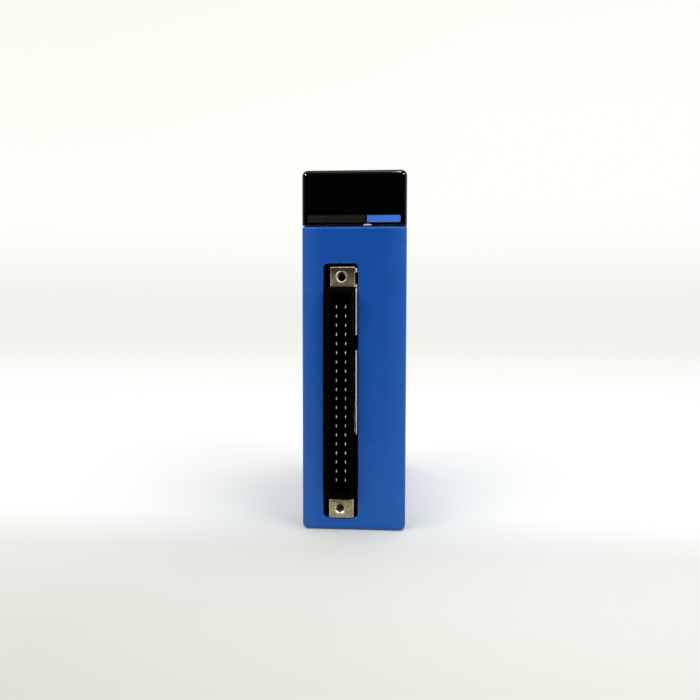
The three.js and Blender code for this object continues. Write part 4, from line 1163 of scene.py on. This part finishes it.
# Threaded hole as one cutting tool, with a small countersink at its mouth
def threadTool(x, z, faceY, endY):
    look = blocks
    sides, stepsPerTurn = look["threadSides"], look["threadSteps"]
    startY = faceY + look["threadStart"]
    loops = [
        ring(look["sinkRadius"] + past, faceY - past, x, z, sides),
        ring(look["sinkRadius"], faceY, x, z, sides),
        ring(look["holeRadius"], faceY + look["sinkDepth"], x, z, sides),
        ring(look["holeRadius"], startY, x, z, sides),
    ]
    turns = int((endY - startY) / look["threadPitch"])
    for step in range(1, turns * stepsPerTurn):
        y = startY + step * look["threadPitch"] / stepsPerTurn
        loop = []
        for i in range(sides):
            phase = (step / stepsPerTurn + i / sides) % 1
            radius = look["holeRadius"] + look["threadDepth"] * (1 - abs(2 * phase - 1))
            turn = 2 * math.pi * i / sides
            loop.append((x + radius * math.cos(turn), y, z + radius * math.sin(turn)))
        loops.append(loop)
    loops.append(ring(look["holeRadius"], endY + past, x, z, sides))
    return skinOf(loops)


# Head of an end block: straight sides, a chamfer and a face that is slightly domed
def blockHead(face, faceY):
    look = blocks
    x, z = sum(face["x"]) / 2, sum(face["z"]) / 2
    width, height = face["x"][1] - face["x"][0], face["z"][1] - face["z"][0]

    def loopAt(inset, back=0.0, y=None):
        spanX = around(x, width - 2 * inset)
        spanZ = around(z, height - 2 * inset)
        corner = max(look["corner"] - inset, look["leastCorner"])
        points = []
        for u, v in roundedLoop(spanX, spanZ, corner, steps=4):
            domed = faceY + ((u - x) ** 2 + (v - z) ** 2) / (2 * face["crown"])
            points.append((u, domed + back if y is None else y, v))
        return points

    chamfer, drop, rim = look["chamfer"], look["chamferDrop"], look["rim"]
    loops = [loopAt(0, y=flangeFrontY), loopAt(0, back=drop + 2 * rim), loopAt(rim, back=drop)]
    loops += [loopAt(chamfer, back=rim / 2)]
    loops += [loopAt(chamfer + rim + inset) for inset in look["crownInsets"]]
    return skinOf(loops)


def makeEndBlocks():
    look = blocks
    faceY = frontY - look["rise"]
    endY = flangeRearY + look["postTail"]
    for end, face in blockFaces.items():
        x, z = look[end]
        post = cylinder(look["postRadius"], (flangeFrontY - past, endY), x, z)
        lip = turnedAboutY([(radius, faceY + depth) for radius, depth in look["lipProfile"]], *face["hole"])
        block = join([blockHead(face, faceY), post, lip])
        carve(block, [threadTool(*face["hole"], faceY, endY)])
        finishPiece(block, end + "EndBlock", blockNickel, end + "_end_block", sharpAngle=25)


# Stamped screen along the connector's right side, with its corners rolled over

screen = {
    "front": 0.1,
    "sections": (  # z, and x of the left and the right side there
        (27.2, 0.64, 0.85),
        (28.4, 0.62, 0.9),
        (35.5, 0.41, 0.87),
        (52.0, 0.42, 0.84),
        (65.0, 0.43, 0.8),
        (67.6, 0.41, 0.84),
        (73.6, 0.41, 0.84),
    ),
    "leg": ((27.8, 0.26, 0.34), (36.6, 0.38, 0.46)),  # thin strip that splits off the foot
    "legSetback": 0.2,
    "notches": ((50.85, 55.1), (67.95, 68.25), (69.04, 72.34)),
    "rim": 0.1,
}


def screenStrip(sections, faceY):
    back, loops = flangeFrontY, []
    for z, left, right in sections:
        loops.append([(left, back, z), (right, back, z), (right, faceY, z), (left, faceY, z)])
    return skinOf(loops)


def makeScreen():
    look = screen
    faceY = frontY + look["front"]
    plate = screenStrip(look["sections"], faceY)
    acrossX = (look["leg"][0][1], look["sections"][0][2] + past)
    throughY = (faceY - past, flangeFrontY + past)
    carve(plate, [boxes([(acrossX, throughY, span) for span in look["notches"]])])
    soften(plate, look["rim"], 4, pick=lambda at: at.y < flangeFrontY - near)
    plate = join([plate, screenStrip(look["leg"], faceY + look["legSetback"])])
    finishPiece(plate, "connectorScreen", screenTin, "connector_screen")


makeConnectorBody()
makeContacts()
makeEndBlocks()
makeScreen()
print("front connector made")


# Case shell: left, top, bottom and rear walls, open in front and on the right

collar = {"reach": 4.0, "thickness": 1.2, "root": 2.0, "nubRoot": 0.1, "nubSetback": 0.4}
vents = {
    "count": 9,
    "pitch": 4.0,
    "width": 1.6,
    "leftX": -5.8,
    "leftLength": 8.0,
    "rightX": 7.8,
    "rightLength": 4.0,
}
snaps = {"y": 17.0, "width": 6.0, "length": 6.5, "thickness": 1.2, "nub": 0.9, "nubLength": 2.4}
rails = {"x": (1.3, 4.7), "thickness": 1.2, "height": 2.5, "y": (-18.0, 24.0)}
board = {"x": (2.2, 3.8), "z": (2.0, 98.4)}
well = {
    "half": 5.8,
    "frontY": 30.6,
    "floorZ": 85.2,
    "wall": 1.2,
    "slotZ": 89.4,
    "earHalf": 6.9,
    "earY": (34.3, 37.9),
    "earZ": (89.8, 95.8),
}
hook = {"width": 10.0, "reach": 4.0, "thickness": 2.4, "bottom": 5.0, "lip": 2.6, "lipThickness": 1.5}
rearPlug = {"x": -2.5, "z": 60.4, "half": 16.6, "width": 5.0}
shellRims = {"outer": 0.3, "vent": 0.2, "inner": 0.12, "field": 0.08, "rearReach": 0.4}


def collarSide(side, spanZ):
    outer = innerHalf - fit
    inner = outer - collar["thickness"]

    def between(a, b):
        return (-b, -a) if side < 0 else (a, b)

    tongue = box(between(inner, outer), (caseFrontY - collar["reach"], caseFrontY + collar["root"]), spanZ)
    root = box(between(inner, innerHalf + wall / 2), (caseFrontY, caseFrontY + collar["root"]), spanZ)
    nubs = boxes([
        (
            between(inner + collar["nubRoot"], halfWidth - collar["nubSetback"]),
            around(nubMiddleY(), latchNubs["depth"]),
            around(z, latchNubs["height"]),
        )
        for z in (*latchNubs["front"], *latchNubs["display"])
    ])
    return [tongue, root, nubs]


# Where pieces inside the top or bottom wall lie, a gap off it, and which way is inward
def endWall(atTop):
    return (innerTop - fit, -1) if atTop else (wall + fit, 1)


def collarWall(atTop):
    outer, inward = endWall(atTop)
    inner = outer + inward * collar["thickness"]
    rooted = outer - inward * (fit + wall / 2)
    spanX = (-innerHalf + fit, innerHalf - 2 * fit - collar["thickness"])
    tongue = box(spanX, (caseFrontY - collar["reach"], caseFrontY + collar["root"]), sorted((inner, outer)))
    root = box(spanX, (caseFrontY, caseFrontY + collar["root"]), sorted((inner, rooted)))
    return [tongue, root]


def slotLoop(x, y, length, width):
    return roundedLoop(around(x, length), around(y, width), width / 2 - near / 2)


def ventTool():
    wallSpans = ((-past, wall + past), (innerTop - past, fullHeight + past))
    stacks = []
    for i in range(vents["count"]):
        y = (i - (vents["count"] - 1) / 2) * vents["pitch"]
        rows = [(vents["leftX"], vents["leftLength"])]
        if abs(abs(y) - snaps["y"]) > snaps["width"] / 2 + vents["width"]:
            rows.append((vents["rightX"], vents["rightLength"]))
        for x, length in rows:
            outline = slotLoop(x, y, length, vents["width"])
            for span in wallSpans:
                stacks.append([[(u, v, z) for u, v in outline] for z in span])
    return skinOf(*stacks)


def snapWindows():
    spans = []
    endX = halfWidth - snaps["length"]
    for y in (-snaps["y"], snaps["y"]):
        for z in (wall / 2, fullHeight - wall / 2):
            spans.append((
                (endX - fit, endX + snaps["nubLength"] + fit),
                around(y, snaps["width"] + 2 * fit),
                around(z, wall + 2 * past),
            ))
    return boxes(spans)


def hookShape():
    look = hook
    tip = rearY + look["reach"]
    low, top = look["bottom"], look["bottom"] + look["thickness"]
    inner = tip - look["lipThickness"]
    outline = [
        (innerRear, low),
        (inner, low),
        (inner, low - look["lip"]),
        (tip, low - look["lip"]),
        (tip, top - look["lipThickness"] / 2),
        (tip - look["lipThickness"] / 2, top),
        (innerRear, top),
    ]
    return alongX(outline, around(0, look["width"]))


def makeCaseShell():
    spanX, spanZ = (-halfWidth, halfWidth), (0, fullHeight)
    outline = roundedLoop(spanX, spanZ, casing["longEdge"], steps=8)
    shell = alongY(outline, (caseFrontY, rearY))
    carve(shell, [box((-innerHalf, halfWidth + past), (caseFrontY - past, innerRear), (wall, innerTop))])
    ends = (wall + fit, innerTop - fit)
    wellBox = box(
        around(0, 2 * (well["half"] + well["wall"])),
        (well["frontY"] - well["wall"], rearY - wall / 2),
        (well["floorZ"] - well["wall"], fullHeight - wall / 2),
    )
    railSpans = ((wall - past, wall + rails["height"]), (innerTop - rails["height"], innerTop + past))
    railBoxes = boxes([
        (around(x, rails["thickness"]), rails["y"], spanZ) for x in rails["x"] for spanZ in railSpans
    ])
    parts = [*collarSide(-1, ends), *collarWall(True), *collarWall(False), railBoxes, wellBox, hookShape()]
    carve(shell, parts, "UNION")
    plugX = around(rearPlug["x"], rearPlug["width"] + 2 * fit)
    plugZ = around(rearPlug["z"], 2 * (rearPlug["half"] + fit))
    plugWindow = box(plugX, (innerRear - past, rearY + past), plugZ)
    boardSlot = box(
        (board["x"][0] - fit, board["x"][1] + fit),
        (frontY, rails["y"][1] + past),
        (board["z"][0] - fit, board["z"][1] + fit),
    )
    wellX = around(0, 2 * well["half"])
    high = fullHeight + past
    wellHollow = box(wellX, (well["frontY"], innerRear), (well["floorZ"], high))
    wellSlot = box(wellX, (well["frontY"], rearY + past), (well["slotZ"], high))
    earSlots = box(around(0, 2 * well["earHalf"]), well["earY"], well["earZ"])
    carve(shell, [plugWindow, boardSlot, wellHollow, wellSlot, earSlots, snapWindows(), ventTool()])

    def atEnds(at):
        return at.y > rearY - near or abs(at.y - caseFrontY) < near

    def onSkin(at):
        return at.z < near or at.z > fullHeight - near or at.y > rearY - shellRims["rearReach"]

    soften(shell, shellRims["outer"], 3, pick=atEnds)
    soften(shell, shellRims["vent"], 3, pick=onSkin)
    soften(shell, shellRims["inner"], 2, pick=lambda at: at.y < caseFrontY or at.y > rearY)
    finishPiece(shell, "caseShell", blueCasing, "case_shell")


# Side cover with four snap arms and a shallow field for the label

label = {
    "y": 6.0,
    "z": 46.0,
    "depth": 44.0,
    "height": 52.0,
    "recess": 0.35,
    "thickness": 0.2,
    "margin": 0.5,
    "corner": 1.0,
    "rim": 0.05,
}


def makeSideCover():
    z0 = wall + seam
    z1 = innerTop - seam
    plate = box((innerHalf, halfWidth), (caseFrontY, innerRear - seam), (z0, z1))
    parts = collarSide(1, (z0 + fit, z1 - fit))
    endX = halfWidth - snaps["length"]
    for y in (-snaps["y"], snaps["y"]):
        for atTop in (False, True):
            outer, inward = endWall(atTop)
            wide = around(y, snaps["width"])
            arm = sorted((outer, outer + inward * snaps["thickness"]))
            nub = sorted((outer - inward * snaps["nub"], outer + inward * snaps["thickness"] / 2))
            parts.append(box((endX, innerHalf + past), wide, arm))
            parts.append(box((endX, endX + snaps["nubLength"]), wide, nub))
    carve(plate, parts, "UNION")
    soften(plate, shellRims["outer"], 3, pick=lambda at: at.x > halfWidth - near)
    field = roundedLoop(
        around(label["y"], label["depth"] + 2 * label["margin"]),
        around(label["z"], label["height"] + 2 * label["margin"]),
        label["corner"] + label["margin"],
    )
    carve(plate, [alongX(field, (halfWidth - label["recess"], halfWidth + past))])
    soften(plate, shellRims["field"], 2, pick=lambda at: at.x > halfWidth - near)
    soften(plate, shellRims["inner"], 2)
    finishPiece(plate, "sideCover", blueCasing, "side_cover")


def makeSideLabel():
    spanY, spanZ = around(label["y"], label["depth"]), around(label["z"], label["height"])
    x0 = halfWidth - label["recess"]
    sticker = alongX(roundedLoop(spanY, spanZ, label["corner"]), (x0, x0 + label["thickness"]))
    soften(sticker, label["rim"], 2)
    finishPiece(sticker, "sideLabel", labelGrey, "side_label")


makeCaseShell()
makeSideCover()
makeSideLabel()
print("case made")


# Rear plug: a tongue with a groove for each contact

rearLook = {
    "pitch": 1.6,
    "count": 18,
    "reach": 5.4,
    "footX": (-6.5, 1.9),
    "footY": (33.6, 39.8),
    "footHalf": 20.6,
    "grooveDepth": 0.7,
    "grooveWidth": 1.1,
    "grooveEnd": 0.8,
    "grooveStart": 34.8,
    "contactWidth": 0.8,
    "contactThickness": 0.4,
    "contactInset": 0.15,
    "tip": 0.6,
    "tipRim": 0.45,
    "contactRim": 0.1,
    "rim": 0.15,
    "rimReach": 1.0,
}


def rearRows():
    half = (rearLook["count"] - 1) / 2
    return [rearPlug["z"] + (i - half) * rearLook["pitch"] for i in range(rearLook["count"])]


def sidewaysSpan(side, first, last):
    face = rearPlug["x"] + side * rearPlug["width"] / 2
    return sorted((face - side * first, face - side * last))


def makeRearPlug():
    look = rearLook
    foot = box(look["footX"], look["footY"], around(rearPlug["z"], 2 * look["footHalf"]))
    spanX, spanZ = around(rearPlug["x"], rearPlug["width"]), around(rearPlug["z"], 2 * rearPlug["half"])
    outline = roundedLoop(spanX, spanZ, look["tip"])
    tipY = rearY + look["reach"]
    plug = join([foot, alongY(outline, (look["footY"][1] - past, tipY))])
    soften(plug, look["tipRim"], 4, pick=lambda at: at.y > tipY - near)
    endY = tipY - look["grooveEnd"]
    for side in (-1, 1):
        spanX = sidewaysSpan(side, -past, look["grooveDepth"])
        spanY = (look["grooveStart"], endY)
        carve(plug, [boxes([(spanX, spanY, around(z, look["grooveWidth"])) for z in rearRows()])])
    soften(plug, look["rim"], 2, pick=lambda at: at.y > look["footY"][1] - look["rimReach"])
    finishPiece(plug, "rearPlug", blackInsulator, "rear_connector_body")
    for side, word in ((-1, "left"), (1, "right")):
        spanX = sidewaysSpan(side, look["contactInset"], look["contactInset"] + look["contactThickness"])
        spanY = (look["grooveStart"] + fit, endY - fit)
        rows = boxes([(spanX, spanY, around(z, look["contactWidth"])) for z in rearRows()])
        soften(rows, look["contactRim"], 3)
        finishPiece(rows, "rearContacts_" + word, contactTin, "rear_contacts_" + word)


# Release button and its spring

button = {
    "width": 11.0,
    "radii": (0.3, 0.3, 0.8, 0.8),
    "y": (30.9, 41.3),
    "z": (92.4, 101.8),
    "noseWidth": 7.6,
    "noseReach": 3.2,
    "noseTop": 97.4,
    "noseHeight": 3.6,
    "noseTip": 1.2,
    "earHalf": 6.6,
    "earDepth": 3.0,
    "earZ": (92.6, 95.5),
    "ribs": 4,
    "ribPitch": 2.0,
    "ribWidth": 0.8,
    "ribHeight": 0.5,
    "ribSink": 0.4,
    "ribRadii": (0.05, 0.05, 0.35, 0.35),
    "ribLength": 8.6,
    "pocketRadius": 3.0,
    "pocketDepth": 4.0,
    "rim": 0.25,
}
spring = {
    "x": 0.0,
    "y": 36.1,
    "low": 85.45,
    "high": 96.15,
    "radius": 2.1,
    "wire": 0.5,
    "turns": 6,
    "travel": 2.5,
    "stepsPerTurn": 32,
    "sides": 10,
}


def makeButton():
    look = button
    middleY = sum(look["y"]) / 2
    body = alongX(roundedLoop(look["y"], look["z"], look["radii"]), around(0, look["width"]))
    low = look["noseTop"] - look["noseHeight"]
    tipY = look["y"][1] + look["noseReach"]
    profile = [
        (look["y"][1] - past, low),
        (tipY, look["noseTop"] - look["noseTip"]),
        (tipY, look["noseTop"]),
        (look["y"][1] - past, look["noseTop"]),
    ]
    nose = alongX(profile, around(0, look["noseWidth"]))
    ears = box((-look["earHalf"], look["earHalf"]), around(middleY, look["earDepth"]), look["earZ"])
    whole = join([body, nose, ears])
    soften(whole, look["rim"], 3)
    ribZ = (look["z"][1] - look["ribSink"], look["z"][1] + look["ribHeight"])
    ribs = []
    for i in range(look["ribs"]):
        y = middleY + (i - (look["ribs"] - 1) / 2) * look["ribPitch"]
        outline = roundedLoop(around(y, look["ribWidth"]), ribZ, look["ribRadii"])
        ribs.append(alongX(outline, around(0, look["ribLength"])))
    carve(whole, ribs, "UNION")
    pocket = []
    for z in (look["z"][0] - past, look["z"][0] + look["pocketDepth"]):
        pocket.append([(x, middleY + v, z) for x, _, v in ring(look["pocketRadius"], 0, 0, 0, 48)])
    carve(whole, [skinOf(pocket)])
    finishPiece(whole, "releaseButton", releaseYellow, "release_button", "release")


def makeSpring():
    look = spring
    low, high = look["low"] + look["wire"] / 2, look["high"] - look["wire"] / 2
    steps = look["turns"] * look["stepsPerTurn"]
    upward = Vector((0, 0, 1))
    loops = []
    for step in range(steps + 1):
        angle = 2 * math.pi * step / look["stepsPerTurn"]
        outward = Vector((math.cos(angle), math.sin(angle), 0))
        centre = Vector((look["x"], look["y"], low + (high - low) * step / steps)) + outward * look["radius"]
        loop = []
        for side in range(look["sides"]):
            turn = 2 * math.pi * side / look["sides"]
            offset = outward * math.cos(turn) + upward * math.sin(turn)
            loop.append(tuple(centre + offset * look["wire"] / 2))
        loops.append(loop)
    coil = skinOf(loops)
    finishPiece(coil, "releaseSpring", springSteel, "release_spring")
    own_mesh(coil)


makeRearPlug()
makeButton()
makeSpring()
print("rear made")


# Inner parts keep their own shapes and take their finishes here

innerFinishes = {
    "lamp_mask": maskBlack,
    "lamp_bar_": lampFinish,
    "lamp_board_plug": maskBlack,
    "lamp_board_socket": maskBlack,
    "lamp_board": boardFinish,
    "main_board": boardFinish,
    "upper_block_nut": blockNickel,
    "lower_block_nut": blockNickel,
    "optocoupler_": chipBlack,
    "resistor_array_": chipBlack,
    "interface_chip": chipBlack,
    "capacitor_": canAluminium,
    "oscillator": canAluminium,
}


def finishInnerParts():
    for name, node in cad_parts.items():
        for start, material in innerFinishes.items():
            if name.startswith(start):
                node.data.materials.clear()
                node.data.materials.append(material)
                break


finishInnerParts()
print("inner parts finished")


# Floor, sky and lamps. Plastic and metal mirror a dark room in front, white paper behind and a
# narrow strip of light overhead.

studio = {
    "floorHalf": 3.0,  # m
    "floorWhite": (232, 233, 231),
    "paperEdge": (241, 242, 238),
    "paperSpan": (-150.0, 1150.0),  # mm along Y that the paper's tones run over
    "paperTones": (
        (0.0, (226, 227, 219)),
        (0.028, (236, 237, 230)),
        (0.046, (240, 241, 236)),
        (0.083, (246, 247, 243)),
        (0.13, (250, 251, 248)),
        (0.19, (254, 254, 252)),
        (0.27, (255, 255, 255)),
        (0.36, (254, 254, 253)),
        (0.48, (250, 251, 247)),
        (0.7, (244, 245, 241)),
        (1.0, (241, 242, 238)),
    ),
    "leftShade": (0.955, 0.95, 0.92, 1),
    "rightShade": (1.075, 1.075, 1.07, 1),
    "shadeX": (-55.0, 55.0),
    "shadeY": (-45.0, -110.0),  # mm, from no shade to all of it
    "sidesX": (160.0, 420.0),  # plain paper lies further out than this, beside and in front
    "sidesY": (20.0, -45.0),
    "foreY": (-160.0, -420.0),
    "litLevel": (1.12, 0.945),  # brightness of the lit white where nothing shades it, in front and behind
    "litLevelY": (-58.0, -22.0),
    "litReach": (120.0, 420.0),  # mm from the module over which the camera stops seeing that white
    "mirroredY": (-280.0, -80.0),  # floor further in front than this is a dark room in mirrored views
    "mirroredLeast": 0.06,
    "skyTones": (
        (0.0, (241, 242, 238)),
        (0.04, (243, 244, 240)),
        (0.1, (247, 248, 244)),
        (0.18, (252, 253, 249)),
        (0.28, (255, 255, 252)),
        (0.5, (255, 255, 251)),
        (0.75, (253, 253, 246)),
    ),
    "warmPaper": (249, 249, 235),
    "skyFill": 0.5,
    "roomDark": (0.008, 0.009, 0.011, 1),
    "roomAbove": (0.1, 0.105, 0.12, 1),
    "roomSides": (0.3, 0.31, 0.33, 1),
    "paperBehind": (0.9, 0.9, 0.89, 1),
}


def background(tree, colour, strength=1.0):
    made = addNode(tree, "Background")
    feed(tree, colour, made.inputs["Color"])
    feed(tree, strength, made.inputs["Strength"])
    return made.outputs[0]


def shadersMixed(tree, factor, first, second):
    made = addNode(tree, "MixShader")
    for value, socket in zip((factor, first, second), made.inputs):
        feed(tree, value, socket)
    return made.outputs[0]


# What the camera sees: pale paper that is warmer high on the left
def paperSky(tree, look, x, z):
    shades = ramp(tree, mapped(tree, z, 0.0, 0.5), look["skyTones"])
    warm = times(tree, mapped(tree, x, 0.1, -0.45), mapped(tree, z, 0.1, 0.45))
    return mixed(tree, warm, shades, look["warmPaper"])


# What gloss mirrors: a dark room in front with paler sides, and paper behind
def mirroredRoom(tree, look, x, y, z):
    front = mixed(tree, mapped(tree, z, 0.22, 0.4), look["roomDark"], look["roomAbove"])
    front = mixed(tree, mapped(tree, absolute(tree, x), 0.85, 0.97), front, look["roomSides"])
    return mixed(tree, mapped(tree, y, 0.0, 0.4), front, look["paperBehind"])


def makeSky(look):
    world = bpy.data.worlds.new("studioSky")
    world.cycles.sampling_method = "NONE"  # each ray sees the sky meant for its kind
    scene.world = world
    world.use_nodes = True
    tree = world.node_tree
    tree.nodes.clear()
    x, y, z = axesOf(tree, addNode(tree, "TexCoord").outputs["Generated"])
    path = addNode(tree, "LightPath").outputs
    seen = background(tree, paperSky(tree, look, x, z))
    room = background(tree, mirroredRoom(tree, look, x, y, z))
    fill = background(tree, (1.0, 1.0, 1.0, 1.0), look["skyFill"])
    unseen = shadersMixed(tree, path["Is Glossy Ray"], fill, room)
    direct = calculate(tree, "MAXIMUM", path["Is Camera Ray"], path["Is Transmission Ray"])
    feed(tree, shadersMixed(tree, direct, unseen, seen), addNode(tree, "OutputWorld").inputs[0])


# Tone that the camera finds on the floor at each place
def paperFloor(tree, look, x, y):
    paper = ramp(tree, mapped(tree, y, *look["paperSpan"]), look["paperTones"])
    slant = mixed(tree, mapped(tree, x, *look["shadeX"]), look["leftShade"], look["rightShade"])
    shaded = mixed(tree, mapped(tree, y, *look["shadeY"]), paper, mixed(tree, 1.0, paper, slant, "MULTIPLY"))
    beside = times(tree, mapped(tree, absolute(tree, x), *look["sidesX"]), mapped(tree, y, *look["sidesY"]))
    further = calculate(tree, "MAXIMUM", beside, mapped(tree, y, *look["foreY"]))
    return mixed(tree, further, shaded, look["paperEdge"])


# The floor keeps its lit white and shadows beside the module, and a glow that only direct and
# mirrored views see lifts it to the pale paper
def makeFloor(look):
    mesh = bpy.data.meshes.new("studioFloor")
    half = look["floorHalf"]
    corners = [(-half, -half, 0), (half, -half, 0), (half, half, 0), (-half, half, 0)]
    mesh.from_pydata(corners, [], [(0, 1, 2, 3)])
    floor = bpy.data.objects.new("studioFloor", mesh)
    scene.collection.objects.link(floor)
    material, tree, shader = newMaterial("paperFloor", Specular_IOR_Level=0.0)
    material.cycles.emission_sampling = "NONE"
    mesh.materials.append(material)
    place = placeOf(tree)
    x, y = axesOf(tree, place)[:2]
    wanted = paperFloor(tree, look, x, y)
    distance = addNode(tree, "VectorMath", operation="LENGTH")
    feed(tree, place, distance.inputs[0])
    share = mapped(tree, distance.outputs["Value"], *look["litReach"], 1.0, 0.0)
    path = addNode(tree, "LightPath").outputs
    seen = calculate(tree, "MAXIMUM", path["Is Camera Ray"], path["Is Transmission Ray"])
    direct = calculate(tree, "MAXIMUM", seen, path["Is Glossy Ray"])
    nearby = mapped(tree, y, *look["mirroredY"], look["mirroredLeast"], 1.0)
    further = times(tree, path["Is Glossy Ray"], calculate(tree, "SUBTRACT", 1.0, nearby))
    white, black = tone(*look["floorWhite"]), (0.0, 0.0, 0.0, 1.0)
    base = mixed(tree, direct, white, mixed(tree, share, black, white))
    grain = addGroup(tree, grainGroup, Grains_per_mm=0.6, Patches_per_mm=0.01)
    dress(tree, shader, mixed(tree, further, base, black), 0.9, grain["Height"], 0.02)
    frontLevel, backLevel = [(*[value * level for value in white[:3]], 1.0) for level in look["litLevel"]]
    unshaded = mixed(tree, mapped(tree, y, *look["litLevelY"]), frontLevel, backLevel)
    lift = mixed(tree, 1.0, wanted, mixed(tree, share, black, unshaded), "SUBTRACT")
    feed(tree, lift, shader.inputs["Emission Color"])
    mirrored = times(tree, path["Is Glossy Ray"], nearby)
    feed(tree, calculate(tree, "MAXIMUM", seen, mirrored), shader.inputs["Emission Strength"])


# "sees" says which rays a lamp serves: the soft ones light surfaces, the others only show in gloss
lamps = {
    "overhead": {"place": (80, 130, 720), "size": (620, 620), "power": 2.0, "sees": "surfaces"},
    "frontLeft": {
        "place": (-600, -720, 700),
        "size": (780, 780),
        "power": 4.1,
        "tint": (1.0, 0.98, 0.89),
        "sees": "surfaces",
    },
    "frontRight": {
        "place": (740, -680, 680),
        "size": (780, 780),
        "power": 4.5,
        "tint": (0.91, 0.97, 1.0),
        "sees": "surfaces",
    },
    "stripAbove": {"place": (120, -60, 740), "size": (600, 260), "power": 1.1, "sees": "gloss"},
    "glintLeft": {"place": (-400, -480, 425), "size": (150, 100), "power": 5.6, "sees": "gloss"},
    "glintRight": {"place": (450, -478, 400), "size": (150, 90), "power": 4.0, "sees": "gloss"},
    "glintAbove": {"place": (8, -420, 670), "size": (6, 80), "power": 0.14, "sees": "gloss"},
}
lampTarget = (0, 0, 70)


def makeLamps():
    target = Vector(lampTarget) * mm
    for name, look in lamps.items():
        data = bpy.data.lights.new(name, "AREA")
        data.shape = "RECTANGLE"
        data.size, data.size_y = [side * mm for side in look["size"]]
        data.energy = look["power"]
        data.color = look.get("tint", (1.0, 1.0, 1.0))
        lamp = bpy.data.objects.new(name, data)
        scene.collection.objects.link(lamp)
        lamp.location = Vector(look["place"]) * mm
        lamp.rotation_euler = (target - lamp.location).to_track_quat("-Z", "Y").to_euler()
        lamp.visible_camera = False
        lamp.visible_glossy = look["sees"] == "gloss"
        lamp.visible_diffuse = look["sees"] == "surfaces"


makeSky(studio)
makeFloor(studio)
makeLamps()
print("studio lit")
